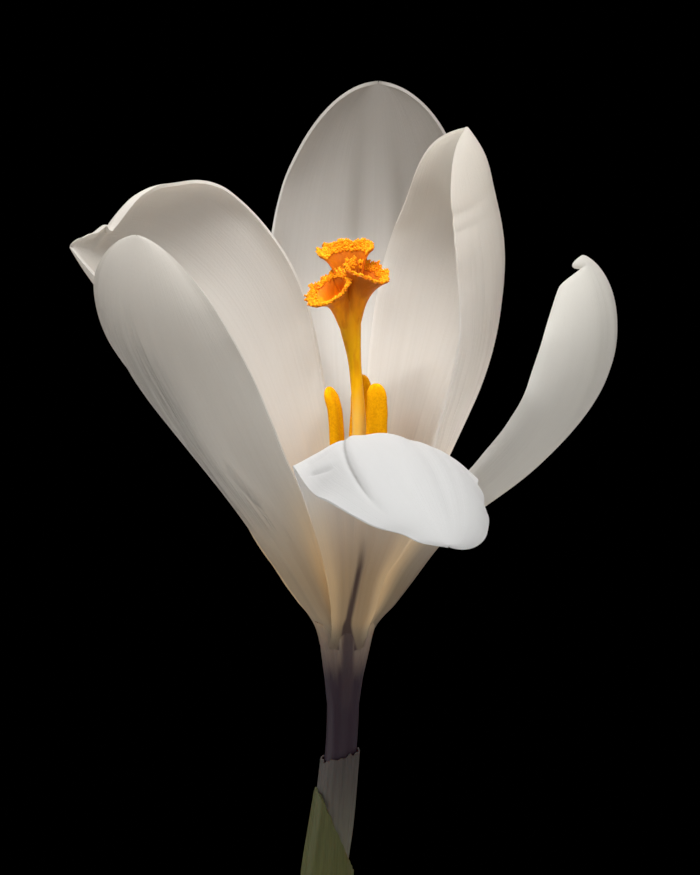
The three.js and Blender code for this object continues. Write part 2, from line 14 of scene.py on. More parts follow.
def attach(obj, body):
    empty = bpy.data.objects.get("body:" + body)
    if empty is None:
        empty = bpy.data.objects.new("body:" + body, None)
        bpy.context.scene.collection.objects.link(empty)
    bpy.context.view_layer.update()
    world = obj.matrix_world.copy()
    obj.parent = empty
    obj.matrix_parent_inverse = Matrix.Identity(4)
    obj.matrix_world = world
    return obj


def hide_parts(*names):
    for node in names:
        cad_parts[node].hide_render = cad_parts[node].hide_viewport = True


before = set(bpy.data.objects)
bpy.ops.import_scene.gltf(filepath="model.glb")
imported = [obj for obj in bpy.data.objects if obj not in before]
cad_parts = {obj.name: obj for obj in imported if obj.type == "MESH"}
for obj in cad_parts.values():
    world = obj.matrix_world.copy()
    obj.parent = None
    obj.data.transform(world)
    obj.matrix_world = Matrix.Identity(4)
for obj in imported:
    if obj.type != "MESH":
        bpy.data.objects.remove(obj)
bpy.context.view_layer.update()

# ---------------------------------------------------------------- pot
# A small flowerpot of fired clay, thrown on a wheel, with a plain band round its top and a drain hole in its
# foot. The clay is open-grained and unglazed. It darkens where it stays damp, and lime from the water dries
# on it as a white bloom, mostly on the band.

POT_HEIGHT = 66
RIM_RADIUS = 36
BAND_HEIGHT = 16.5
BAND_STEP = 2.4
BASE_RADIUS = 24.5
POT_WALL = 4
POT_WALL_TAPER = 0.6
POT_FLOOR = 4.5
DRAIN_RADIUS = 5
DRAIN_CHAMFER = 0.5
FOOT_ROUND = 1.2
LIP_ROUND = 1.5
LIP_INNER_ROUND = 1.3
FLOOR_ROUND = 2.2
WALL_TOP_RADIUS = RIM_RADIUS - BAND_STEP - 1.4


def primitive(add, name, **settings):
    """Add one of Blender's primitives with nothing else selected, and name it."""
    bpy.ops.object.select_all(action="DESELECT")
    add(**settings)
    piece = bpy.context.active_object
    piece.name = piece.data.name = name
    return piece


def turned(name, profile, steps):
    """Draw one point out along a profile of (radius, height), and spin that line about Z."""
    piece = primitive(bpy.ops.mesh.primitive_plane_add, name, size=0.01)
    bpy.ops.object.mode_set(mode="EDIT")
    bpy.ops.mesh.merge(type="CENTER")
    bpy.ops.transform.translate(value=(profile[0][0], 0, profile[0][1]))
    for (radius, height), (next_radius, next_height) in zip(profile, profile[1:]):
        step = (next_radius - radius, 0, next_height - height)
        bpy.ops.mesh.extrude_vertices_move(TRANSFORM_OT_translate={"value": step})
    bpy.ops.mesh.select_all(action="SELECT")
    bpy.ops.mesh.spin(steps=steps, angle=math.tau, center=(0, 0, 0), axis=(0, 0, 1))
    bpy.ops.mesh.select_all(action="SELECT")
    bpy.ops.mesh.remove_doubles(threshold=1e-4)
    bpy.ops.mesh.normals_make_consistent(inside=False)
    bpy.ops.object.mode_set(mode="OBJECT")
    return piece


def reshape(piece, change):
    """Move each vertex to where a function puts it."""
    for vertex in piece.data.vertices:
        vertex.co = change(vertex.co.copy())
    piece.data.update()


def add_modifier(piece, kind, **settings):
    """Add a modifier, set it and apply it."""
    modifier = piece.modifiers.new(kind.title(), kind)
    for name, value in settings.items():
        setattr(modifier, name, value)
    bpy.context.view_layer.objects.active = piece
    bpy.ops.object.modifier_apply(modifier=modifier.name)


def finish(piece, material, sharp):
    """Take a piece from mm to metres, smooth it up to an angle in degrees, and give it its material."""
    bpy.ops.object.select_all(action="DESELECT")
    piece.select_set(True)
    bpy.context.view_layer.objects.active = piece
    bpy.ops.object.transform_apply(location=True, rotation=True, scale=True)
    piece.data.transform(Matrix.Scale(0.001, 4))
    bpy.ops.object.shade_smooth_by_angle(angle=math.radians(sharp))
    piece.data.materials.clear()
    piece.data.materials.append(material)


class Wire:
    """One shader socket. Python's operators on it add the Math nodes."""

    def __init__(self, tree, socket):
        self.tree = tree
        self.socket = socket

    def node(self, kind, settings, inputs, output=0):
        """Any other node: its settings first, then the values or links of its sockets."""
        new = self.tree.nodes.new("ShaderNode" + kind)
        for name, value in settings.items():
            setattr(new, name, value)
        for key, value in inputs.items():
            if isinstance(value, Wire):
                self.tree.links.new(value.socket, new.inputs[key])
            else:
                new.inputs[key].default_value = value
        return Wire(self.tree, new.outputs[output])

    def math(self, operation, *values):
        return self.node("Math", {"operation": operation}, dict(enumerate(values)))

    def __add__(self, other):
        return self.math("ADD", self, other)

    def __sub__(self, other):
        return self.math("SUBTRACT", self, other)

    def __rsub__(self, other):
        return self.math("SUBTRACT", other, self)

    def __mul__(self, other):
        return self.math("MULTIPLY", self, other)

    def __abs__(self):
        return self.math("ABSOLUTE", self)

    __radd__ = __add__
    __rmul__ = __mul__

    def at_most(self, limit):
        return self.math("MINIMUM", self, limit)

    def at_least(self, limit):
        return self.math("MAXIMUM", self, limit)

    def coordinate(self, axis):
        """This place's coordinate along X, Y or Z."""
        return self.node("SeparateXYZ", {}, {0: self}, axis)

    def step(self, low, high):
        """0 below low, 1 above high, and a smooth rise between; a high below low turns it round."""
        settings = {"interpolation_type": "SMOOTHSTEP"}
        if low < high:
            return self.node("MapRange", settings, {"Value": self, "From Min": low, "From Max": high})
        return 1 - self.node("MapRange", settings, {"Value": self, "From Min": high, "From Max": low})

    def grain(self, scale, detail=3, roughness=0.5):
        """Noise from 0 to 1 at this place, with `scale` waves to the millimetre."""
        inputs = {"Vector": self, "Scale": scale, "Detail": detail, "Roughness": roughness}
        return self.node("TexNoise", {}, inputs, "Fac")

    def stretched(self, x, y, z):
        """This place stretched along the axes, so that a pattern on it runs in streaks."""
        return self.node("VectorMath", {"operation": "MULTIPLY"}, {0: self, 1: (x, y, z)})

    def blend(self, first, second):
        """A colour from first to second as this goes from 0 to 1."""
        return self.node("Mix", {"data_type": "RGBA"}, {0: self, 6: first, 7: second}, 2)

    def bump(self, depth, strength=1.0):
        """The normal of a surface raised by this, from 0 to 1, over `depth` millimetres."""
        return self.node("Bump", {}, {"Strength": strength, "Distance": depth * 0.001, "Height": self})


def tone(red, green, blue):
    """A colour given as a screen shows it, from 0 to 255, in the shader's linear units."""
    def linear(value):
        value /= 255
        return value / 12.92 if value < 0.04045 else ((value + 0.055) / 1.055) ** 2.4

    return linear(red), linear(green), linear(blue), 1


def new_finish(name, **constants):
    """A material, its Principled shader with these sockets set, and the place on the piece in millimetres."""
    material = bpy.data.materials.new(name)
    material.use_nodes = True
    tree = material.node_tree
    shader = tree.nodes["Principled BSDF"]
    for socket, value in constants.items():
        shader.inputs[socket.replace("_", " ")].default_value = value
    place = Wire(tree, tree.nodes.new("ShaderNodeTexCoord").outputs["Object"])
    return material, shader, place.stretched(1000, 1000, 1000)


def feed(shader, **wires):
    """Link wires to a shader's sockets."""
    for socket, wire in wires.items():
        wire.tree.links.new(wire.socket, shader.inputs[socket.replace("_", " ")])


def wall_radius(z):
    return BASE_RADIUS + (WALL_TOP_RADIUS - BASE_RADIUS) * z / POT_HEIGHT


def inner_radius(z):
    return wall_radius(z) - POT_WALL + POT_WALL_TAPER * z / POT_HEIGHT


def arc(center_radius, center_height, radius, first, last, steps=5):
    """Points of a round edge from one angle to another, 0 pointing outwards and 90 up."""
    angles = [math.radians(first + (last - first) * i / steps) for i in range(steps + 1)]
    return [(center_radius + radius * math.cos(a), center_height + radius * math.sin(a)) for a in angles]


def clay_finish():
    material, shader, place = new_finish("terracotta", Roughness=0.9, Specular_IOR_Level=0.25)
    height = place.coordinate("Z")
    cloud = place.grain(0.07, 4, 0.6)
    grit = place.grain(2.6, 4, 0.7)
    turning = place.stretched(0.04, 0.04, 1.4).grain(1.1, 3)
    clay = cloud.step(0.35, 0.7).blend(tone(188, 112, 78), tone(164, 90, 62))
    damp = height.step(34, 4) * (0.35 + 0.5 * cloud)
    clay = damp.blend(clay, tone(122, 66, 48))
    clay = (0.55 * grit.step(0.6, 0.72)).blend(clay, tone(204, 146, 112))
    clay = (0.5 * grit.step(0.36, 0.28)).blend(clay, tone(96, 52, 38))
    lime_place = place.grain(0.16, 5, 0.65) + 0.22 * height.step(40, 64) + 0.16 * height.step(6, 0)
    lime = lime_place.step(0.62, 0.86) * (0.3 + 0.6 * grit)
    clay = lime.blend(clay, tone(222, 206, 190))
    surface = 0.5 * grit + 0.5 * turning + 0.3 * lime
    feed(shader, Base_Color=clay, Roughness=0.82 + 0.12 * lime, Normal=surface.bump(0.16, 0.8))
    return material


band_foot = POT_HEIGHT - BAND_HEIGHT
pot = turned("terracotta_pot", [
    (DRAIN_RADIUS + DRAIN_CHAMFER, 0),
    *arc(BASE_RADIUS - FOOT_ROUND, FOOT_ROUND, FOOT_ROUND, -90, 0),
    *[(wall_radius(z), z) for z in (6, 14, 22, 30, 38, band_foot - 2)],
    *arc(wall_radius(band_foot - 1) + 0.9, band_foot - 0.9, 0.8, 180, 100),
    *arc(RIM_RADIUS - 1.3, band_foot + 1.2, 1.1, -90, 0),
    (RIM_RADIUS - 0.12, POT_HEIGHT - 6),
    *arc(RIM_RADIUS - LIP_ROUND, POT_HEIGHT - LIP_ROUND, LIP_ROUND, 0, 90),
    *arc(inner_radius(POT_HEIGHT) + LIP_INNER_ROUND, POT_HEIGHT - LIP_INNER_ROUND, LIP_INNER_ROUND, 90, 180),
    *[(inner_radius(z), z) for z in (58, 44, 30, 16, POT_FLOOR + 3)],
    *arc(inner_radius(POT_FLOOR) - FLOOR_ROUND, POT_FLOOR + FLOOR_ROUND, FLOOR_ROUND, 0, -90),
    (DRAIN_RADIUS + DRAIN_CHAMFER, POT_FLOOR),
    (DRAIN_RADIUS, POT_FLOOR - DRAIN_CHAMFER),
    (DRAIN_RADIUS, DRAIN_CHAMFER),
    (DRAIN_RADIUS + DRAIN_CHAMFER, 0),
], 144)


def thrown(point):
    """A thrown pot is never quite round: its wall wavers by a tenth or two of a millimetre."""
    waver = noise.noise(Vector((point.x * 0.05, point.y * 0.05, point.z * 0.11)))
    share = min(max(point.z / 4, 0), 1) * min(max((POT_HEIGHT - point.z) / 3, 0), 1)
    radius = math.hypot(point.x, point.y)
    inwards = 1 - 0.22 * share * (0.6 + waver) / radius
    return Vector((point.x * inwards, point.y * inwards, point.z))


reshape(pot, thrown)
finish(pot, clay_finish(), 50)
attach(pot, "root")
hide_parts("pot")

# ---------------------------------------------------------------- soil
# Dark bark and peat compost, filled to 8 mm under the rim and firmed round the shoot. Its top is a crust of
# crumbs, bark chips and white perlite grains, which lie on the bed and are sunk a little into it.

SOIL_LEVEL = 58
SOIL_GAP = 0.3
SHOOT_FOOT = 43.3
THROAT = Vector((2, 0, 110))
SHOOT_LEAN = 2.6
CORM_MIDDLE = 36
CORM_RADIUS = 11.3
CORM_HALF_HEIGHT = 8.3
BURROW_RADIUS = 7.2
SOIL_EDGE = inner_radius(SOIL_LEVEL) - SOIL_GAP


def shoot_x(z):
    """How far right of the pot's middle the shoot stands at a height: it leans, and bows twice."""
    share = min(max((z - SHOOT_FOOT) / (THROAT.z - SHOOT_FOOT), 0), 1)
    bow = 0.25 * math.exp(-(((z - 101) / 5) ** 2)) - 0.4 * math.exp(-(((z - 86) / 6) ** 2))
    return THROAT.x - SHOOT_LEAN * (1 - share ** 1.6) + bow


def with_shoot(point):
    return Vector((point.x + shoot_x(point.z), point.y, point.z))


def bed_height(x, y):
    """The height of the soil's top: broad lumps, crumbs on them and a low mound round the shoot."""
    lumps = math.sin(x * 0.42 + 1) * math.cos(y * 0.37) + 0.6 * math.sin(x * 0.21 - y * 0.55 + 2)
    crumbs = 0.5 * noise.fractal(Vector((x * 0.45, y * 0.45, 3)), 1, 2.1, 4)
    return SOIL_LEVEL + 0.85 * lumps + 0.9 * crumbs + 1.1 * math.exp(-(x * x + y * y) / 180)


def scattered(name, models, spots):
    """One mesh of many copies: each spot is a matrix, and takes the models in turn."""
    vertices, faces = [], []
    for i, spot in enumerate(spots):
        model = models[i % len(models)].data
        first = len(vertices)
        vertices += [spot @ vertex.co for vertex in model.vertices]
        faces += [[first + corner for corner in face.vertices] for face in model.polygons]
    mesh = bpy.data.meshes.new(name)
    mesh.from_pydata(vertices, [], faces)
    piece = bpy.data.objects.new(name, mesh)
    bpy.context.scene.collection.objects.link(piece)
    return piece


def clod(seed, roughness, flatness=1.0):
    """A rough crumb about 1 mm in radius, to be copied."""
    model = primitive(bpy.ops.mesh.primitive_ico_sphere_add, "clod", subdivisions=2, radius=1)

    def rough(point):
        lump = 1 + roughness * noise.noise(point * 1.4 + Vector((seed, 0, 0)))
        return Vector((point.x, point.y, point.z * flatness)) * lump

    reshape(model, rough)
    return model


def discard(models):
    for model in models:
        bpy.data.objects.remove(model)


def resting(draw, size, ring, sink):
    """Where a grain lies: at random on the bed, turned at random, its foot sunk in."""
    angle = draw.uniform(0, math.tau)
    radius = math.sqrt(draw.uniform(ring[0] ** 2, ring[1] ** 2))
    x, y = radius * math.cos(angle), radius * math.sin(angle)
    turn = Matrix.Rotation(draw.uniform(0, math.tau), 4, "Z")
    tilt = Matrix.Rotation(draw.uniform(-0.5, 0.5), 4, "X")
    height = bed_height(x, y) + size * (1 - 2 * sink)
    stretch = Matrix.Diagonal((draw.uniform(0.7, 1.3), draw.uniform(0.7, 1.1), draw.uniform(0.7, 1), 1))
    return Matrix.Translation((x, y, height)) @ (turn @ tilt) @ stretch @ Matrix.Scale(size, 4)


def soil_finish(name, dark, light, depth):
    material, shader, place = new_finish(name, Roughness=0.95, Specular_IOR_Level=0.2)
    cloud = place.grain(0.35, 4, 0.7)
    crumb = place.grain(1.8, 5, 0.7)
    shade = (cloud * 0.6 + crumb * 0.5).step(0.35, 0.8).blend(dark, light)
    shade = (crumb.step(0.64, 0.74) * 0.5).blend(shade, tone(118, 88, 62))
    feed(shader, Base_Color=shade, Normal=crumb.bump(depth))
    return material


rings = 46
bottom = POT_FLOOR + SOIL_GAP
corm_arc = [math.radians(-90 + 150 * i / 12) for i in range(13)]
corm_bed = [(CORM_RADIUS * math.cos(a), CORM_MIDDLE + CORM_HALF_HEIGHT * math.sin(a)) for a in corm_arc]
soil = turned("potting_soil", [
    (0, bottom),
    (inner_radius(POT_FLOOR) - 2.6, bottom),
    *[(inner_radius(z) - SOIL_GAP, z) for z in (POT_FLOOR + 3, 25, 45)],
    *[(SOIL_EDGE + (BURROW_RADIUS - SOIL_EDGE) * i / rings, SOIL_LEVEL) for i in range(rings + 1)],
    (6.2, 46),
    *[(max(radius, 0), height) for radius, height in reversed(corm_bed)],
], 150)


def heaped(point):
    """Raise the bed's top, and lean the burrow with the shoot."""
    radius = math.hypot(point.x, point.y)
    near = 1 - min(max((radius - 7.5) / 8, 0), 1)
    if abs(point.z - SOIL_LEVEL) < 0.01:
        edge = min(max((SOIL_EDGE - radius) / 2.5, 0), 1)
        height = bed_height(point.x, point.y)
        return Vector((point.x + near * shoot_x(SOIL_LEVEL), point.y, height - 0.7 * (1 - edge)))
    lean = near * shoot_x(point.z) if CORM_MIDDLE - 9 < point.z < SOIL_LEVEL else 0
    return Vector((point.x + lean, point.y, point.z))


reshape(soil, heaped)
finish(soil, soil_finish("potting_soil", tone(30, 22, 17), tone(74, 55, 41), 0.5), 60)
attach(soil, "root")
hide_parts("soil")


def perlite_finish():
    material, shader, place = new_finish("perlite", Roughness=0.85)
    pits = place.grain(3.2, 4, 0.7)
    shade = pits.step(0.35, 0.62).blend(tone(150, 142, 130), tone(226, 222, 212))
    feed(shader, Base_Color=shade, Normal=pits.bump(0.25))
    return material


GRAINS = {
    "soil_crumbs": {
        "count": 900, "size": (0.35, 1.0), "ring": (7.6, SOIL_EDGE - 1.4), "sink": 0.3,
        "models": [clod(seed, 0.75) for seed in (1, 5, 9, 14)],
        "finish": soil_finish("soil_crumbs", tone(36, 26, 19), tone(92, 68, 50), 0.3),
    },
    "bark_chips": {
        "count": 46, "size": (1.1, 2.2), "ring": (8.8, SOIL_EDGE - 2.6), "sink": 0.42,
        "models": [clod(seed, 0.5, 0.35) for seed in (2, 7)],
        "finish": soil_finish("bark_chips", tone(58, 38, 25), tone(126, 88, 58), 0.3),
    },
    "perlite_grains": {
        "count": 60, "size": (0.45, 0.95), "ring": (8.2, SOIL_EDGE - 1.6), "sink": 0.34,
        "models": [clod(seed, 0.9) for seed in (3, 11)],
        "finish": perlite_finish(),
    },
}

draw = random.Random(17)
for name, kind in GRAINS.items():
    spots = []
    for _ in range(kind["count"]):
        size = draw.uniform(*kind["size"])
        spots.append(resting(draw, size, kind["ring"], kind["sink"]))
    grains = scattered(name, kind["models"], spots)
    finish(grains, kind["finish"], 60)
    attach(grains, "root")
    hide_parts("soil")
    discard(kind["models"])

# ---------------------------------------------------------------- corm
# The flat-based corm that the shoot grows from, 23 mm across, buried in the soil. It keeps its solid's shape,
# and is wrapped in a brown netted tunic of fibres.


def tunic_finish():
    material, shader, place = new_finish("netted_tunic", Roughness=0.8)
    fibres = place.stretched(1, 1, 0.15).grain(1.5, 4, 0.6)
    cells = {"feature": "DISTANCE_TO_EDGE"}
    net = place.node("TexVoronoi", cells, {"Vector": place, "Scale": 0.6}, "Distance")
    shade = fibres.step(0.3, 0.7).blend(tone(86, 58, 36), tone(170, 128, 86))
    shade = net.step(0.1, 0.02).blend(shade, tone(70, 46, 30))
    feed(shader, Base_Color=shade, Normal=(fibres + net).bump(0.3))
    return material


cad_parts["corm"].material_slots[0].material = tunic_finish()

# ---------------------------------------------------------------- basal sheath
# A pale membrane that stands round the feet of the leaves, from the corm to a little above the soil. It has
# dried to paper, with fine upright veins, and its mouth is slanted and frayed.

BASAL_RADIUS = 4.9
BASAL_FLARE = 0.078
BASAL_MOUTH = 66.2


def sheath(name, radius, mouth, tilt, facing, wall, ragged, rows=44, around=96):
    """A thin tube about the shoot, radius being a function of height, with a ragged mouth.

    The mouth rises by the tilt on the side that it faces, an angle to the right of the front."""
    height = mouth - SHOOT_FOOT
    levels = [SHOOT_FOOT + height * (1 - (1 - i / rows) ** 1.5) for i in range(rows + 1)]
    piece = turned(name, [(radius(SHOOT_FOOT), z) for z in levels], around)
    seed = Vector((0, 0, mouth))

    def grown(point):
        angle = math.atan2(point.x, -point.y)
        share = (point.z - SHOOT_FOOT) / height
        around_shoot = Vector((math.sin(angle), math.cos(angle), 0))
        fray = 0.5 + 0.5 * noise.fractal(around_shoot * 4 + seed, 1, 2, 3)
        z = point.z + tilt * math.cos(angle - math.radians(facing)) * share ** 3 - ragged * share ** 6 * fray
        waver = noise.noise(around_shoot * 2 + Vector((0, 0, z * 0.12)) + seed)
        ring = radius(z) + 0.035 * math.sin(17 * angle) + 0.12 * waver
        return with_shoot(Vector((ring * math.sin(angle), -ring * math.cos(angle), z)))

    reshape(piece, grown)
    add_modifier(piece, "SOLIDIFY", thickness=wall, offset=1, use_even_offset=False)
    return piece


def membrane_finish(name, low, high, edge, foot, mouth, rough):
    """Thin dry skin that changes colour from its foot to its mouth, with upright veins."""
    material, shader, place = new_finish(
        name, Specular_IOR_Level=0.3, Subsurface_Weight=0.25, Subsurface_Scale=0.0006)
    height = place.coordinate("Z")
    veins = place.stretched(1, 1, 0.02).grain(3.4, 2)
    shade = height.step(foot, mouth).blend(low, high)
    shade = (veins.step(0.5, 0.62) * 0.35).blend(shade, edge)
    shade = (height.step(mouth - 1.5, mouth + 0.5) * 0.4).blend(shade, edge)
    feed(shader, Base_Color=shade, Roughness=rough + 0.15 * veins, Normal=veins.bump(0.12))
    return material


def basal_radius(z):
    return BASAL_RADIUS + BASAL_FLARE * (z - SHOOT_FOOT)


basal = sheath("basal_sheath", basal_radius, BASAL_MOUTH, 1.6, 40, 0.2, 3)
membrane = membrane_finish(
    "basal_membrane", tone(214, 208, 184), tone(206, 194, 160), tone(164, 142, 104), 56, 66, 0.6)
finish(basal, membrane, 60)
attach(basal, "root")
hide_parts("basal_sheath")

# ---------------------------------------------------------------- leaves
# Seven grass-like leaves that come up round the flower's shoot and arch outwards. Each is a dark green blade,
# 4 to 5 mm wide, rolled up at its margins, with the pale stripe down its middle that marks a crocus.

# A blade starts `root` mm out from the shoot's middle, at an azimuth to the right of the front. Its foot is
# `claw` of its greatest half width wide, and two powers round its tip. The lists run from foot to tip in even
# steps, in degrees: how far the blade leans, sways, drifts and twists, and how far each half curls up.
LEAF_BLADE = {
    "root": 3.95, "claw": 0.38, "widest": 0.62, "tip": (2.4, 1.2), "drift": [0, 0, 0], "twist": [0, 0, 0],
    "left": [56, 46, 36], "right": [56, 46, 36], "nicks": [],
}
LEAVES = [
    {"azimuth": 18, "length": 50, "half": 2.2, "lean": [4, 3, 5, 18, 38, 60], "sway": [0, 2, 10]},
    {"azimuth": 70, "length": 58, "half": 2.35, "lean": [4, 3, 6, 40, 70, 94], "sway": [0, 0, -12]},
    {"azimuth": 122, "length": 57, "half": 2.3, "lean": [4, 3, 5, 70, 94, 108], "sway": [0, 3, 12]},
    {"azimuth": 174, "length": 48, "half": 2.05, "lean": [4, 3, 3, 62, 90, 98], "sway": [0, 2, 12]},
    {"azimuth": 226, "length": 58, "half": 2.4, "lean": [4, 3, 4, 68, 96, 112], "sway": [0, 4, 10]},
    {"azimuth": 278, "length": 57, "half": 2.3, "lean": [4, 3, 6, 38, 72, 98], "sway": [0, 4, 16]},
    {"azimuth": 327, "length": 46, "half": 2.1, "lean": [4, 3, 3, 22, 46, 72], "sway": [0, -5, -14]},
]
LEAF_WALL = 0.42
LEAF_ROWS = 110
LEAF_COLUMNS = 16
TIP_CROWDING = 1.6
LEAST_HALF_WIDTH = 0.04


def along(values, t):
    """A smooth value through evenly spaced ones, at a share t of the way along."""
    last = len(values) - 1
    place = min(max(t, 0), 1) * last
    i = min(int(place), last - 1)
    b, c = values[i], values[i + 1]
    a = values[i - 1] if i else 2 * b - c
    d = values[i + 2] if i < last - 1 else 2 * c - b
    f = place - i
    return b + 0.5 * f * (c - a + f * (2 * a - 5 * b + 4 * c - d + f * (3 * (b - c) + d - a)))


def midrib(blade, steps=240):
    """The midrib as even stations: each a place, the way ahead and the way to the right margin."""
    start = math.radians(blade["azimuth"])
    place = Vector((math.sin(start), -math.cos(start), 0)) * blade["root"]
    step = blade["length"] / steps
    stations = []
    for i in range(steps + 1):
        lean, sway, drift = (math.radians(along(blade[key], i / steps)) for key in ("lean", "sway", "drift"))
        azimuth = start + sway
        outwards = math.sin(lean)
        ahead = Vector((outwards * math.sin(azimuth), -outwards * math.cos(azimuth), math.cos(lean)))
        across = Vector((math.cos(azimuth), math.sin(azimuth), 0))
        direction = ahead * math.cos(drift) + across * math.sin(drift)
        breadth = across * math.cos(drift) - ahead * math.sin(drift)
        if stations:
            place = place + (stations[-1][1] + direction) * (step / 2)
        stations.append((place, direction, breadth))
    return stations


def half_width(blade, u):
    """Half the blade's width: it swells from the claw to its widest place, then rounds to the tip."""
    if u < blade["widest"]:
        rise = u / blade["widest"]
        return blade["half"] * (blade["claw"] + (1 - blade["claw"]) * rise * rise * (3 - 2 * rise))
    fall = (u - blade["widest"]) / (1 - blade["widest"])
    return blade["half"] * max(1 - fall ** blade["tip"][0], 0) ** (1 / blade["tip"][1])


def blade_row(blade, stations, u):
    """What places one row of the blade: its middle, the way across, the way in, and its half width."""
    at = u * (len(stations) - 1)
    low = min(int(at), len(stations) - 2)
    place, ahead, breadth = (a.lerp(b, at - low) for a, b in zip(stations[low], stations[low + 1]))
    ahead.normalize()
    inward = ahead.cross(breadth).normalized()
    breadth = inward.cross(ahead)
    twist = math.radians(along(blade["twist"], u))
    across = breadth * math.cos(twist) + inward * math.sin(twist)
    up = inward * math.cos(twist) - breadth * math.sin(twist)
    return place, across, up, max(half_width(blade, u), LEAST_HALF_WIDTH)


def blade_point(blade, row, u, v):
    """A point of the blade's sheet, at v from -1, its left margin, to 1, its right one: each half is an arc.

    A nick, (u, side, depth, spread in u), narrows one side, and widens it where its depth is negative."""
    place, across, up, half = row
    for at, side, depth, spread in blade["nicks"]:
        if side * v > 0:
            half -= depth * math.exp(-(((u - at) / spread) ** 2))
    half = max(half, LEAST_HALF_WIDTH)
    cup = math.radians(along(blade["left" if v < 0 else "right"], u)) or 1e-4
    turn = cup * abs(v)
    aside = math.copysign(half * math.sin(turn) / cup, v)
    return place + across * aside + up * (half * (1 - math.cos(turn)) / cup)


def blade_sheet(name, blade, rows, columns, relief):
    """Lay a flat grid out as a blade, and raise it along its own normals by relief(u, v, half), in mm.

    The rows lie closer at the tip, and the columns at the margins. The UV map holds (0.5 + v / 2, u), so that
    veins follow the blade."""
    piece = primitive(
        bpy.ops.mesh.primitive_grid_add, name,
        x_subdivisions=columns, y_subdivisions=rows, size=2, calc_uvs=True)
    stations = midrib(blade)
    shares = [1 - (1 - i / rows) ** TIP_CROWDING for i in range(rows + 1)]
    blade_rows = [blade_row(blade, stations, u) for u in shares]
    flat = [(round((vertex.co.y + 1) / 2 * rows), vertex.co.x * (1.3 - 0.3 * vertex.co.x ** 2))
            for vertex in piece.data.vertices]
    for vertex, (i, v) in zip(piece.data.vertices, flat):
        vertex.co = blade_point(blade, blade_rows[i], shares[i], v)
    piece.data.update()
    normals = [vertex.normal.copy() for vertex in piece.data.vertices]
    for vertex, normal, (i, v) in zip(piece.data.vertices, normals, flat):
        vertex.co += normal * relief(shares[i], v, blade_rows[i][3])
    layer = piece.data.uv_layers.active.data
    for loop in piece.data.loops:
        i, v = flat[loop.vertex_index]
        layer[loop.index].uv = (0.5 + v / 2, shares[i])
    piece.data.update()
    return piece


def blade_places(wire):
    """The blade's own places in a shader: u from its foot, v from margin to margin, and both as a vector."""
    spread = wire.node("UVMap", {"uv_map": "UVMap"}, {}, "UV")
    return spread.coordinate("Y"), spread.coordinate("X") * 2 - 1, spread


def leaf_finish():
    material, shader, place = new_finish(
        "crocus_leaf", Specular_IOR_Level=0.4, Subsurface_Weight=0.1, Subsurface_Scale=0.0005)
    u, v, spread = blade_places(place)
    ribs = spread.stretched(46, 1.2, 0).grain(1, 2)
    cloud = place.grain(0.18, 3)
    green = cloud.step(0.3, 0.7).blend(tone(46, 84, 34), tone(66, 106, 46))
    green = (ribs.step(0.45, 0.65) * 0.5).blend(green, tone(92, 128, 66))
    green = u.step(0.34, 0.08).blend(green, tone(196, 204, 158))
    stripe = abs(v).step(0.17, 0.1)
    green = (stripe * 0.85).blend(green, tone(214, 222, 200))
    green = (u.step(0.95, 1.0) * 0.7).blend(green, tone(150, 138, 82))
    feed(shader, Base_Color=green, Roughness=0.42 + 0.2 * ribs, Normal=ribs.bump(0.06))
    return material


def leaf_relief(u, v, half):
    """A channel down the middle, rolled margins and a slow waver."""
    keel = -0.25 * math.exp(-((v / 0.2) ** 2))
    waver = 0.25 * noise.noise(Vector((u * 7, v, half)))
    return (keel + waver) * min(u * 6, 1) * min((1 - u) * 6, 1)


leaf_green = leaf_finish()
leaf_foot = Vector((shoot_x(SHOOT_FOOT), 0, SHOOT_FOOT))
for number, shape in enumerate(LEAVES, 1):
    blade = {**LEAF_BLADE, **shape}
    leaf = blade_sheet(f"crocus_leaf_{number}", blade, LEAF_ROWS, LEAF_COLUMNS, leaf_relief)
    add_modifier(leaf, "SOLIDIFY", thickness=LEAF_WALL, offset=0)
    reshape(leaf, lambda point: point + leaf_foot)
    finish(leaf, leaf_green, 60)
    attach(leaf, "root")
    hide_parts(f"leaf_{number}")

# ---------------------------------------------------------------- flower tube
# The petals grow together into one long thin tube, which rises out of the leaves and widens to the throat. It
# is pale down in the sheaths, dark purple below the throat and brownish where the petals part.

# Heights above the shoot's foot, each with the tube's radius there.
TUBE = [
    (0, 1.1), (25, 1.2), (42, 1.42), (50, 1.45), (56.7, 1.42), (60.7, 1.46), (63.2, 1.75), (65.2, 2.1),
    (66.7, 2.34), (67.7, 2.55), (69.2, 2.95),
]
OUTER_AZIMUTHS = (6.6, 111, -107)


def tube_radius(z):
    """The tube's radius at a height, straight between the stations."""
    above = z - SHOOT_FOOT
    for (low, r0), (high, r1) in zip(TUBE, TUBE[1:]):
        if above <= high:
            return r0 + (r1 - r0) * max(above - low, 0) / (high - low)
    return TUBE[-1][1]


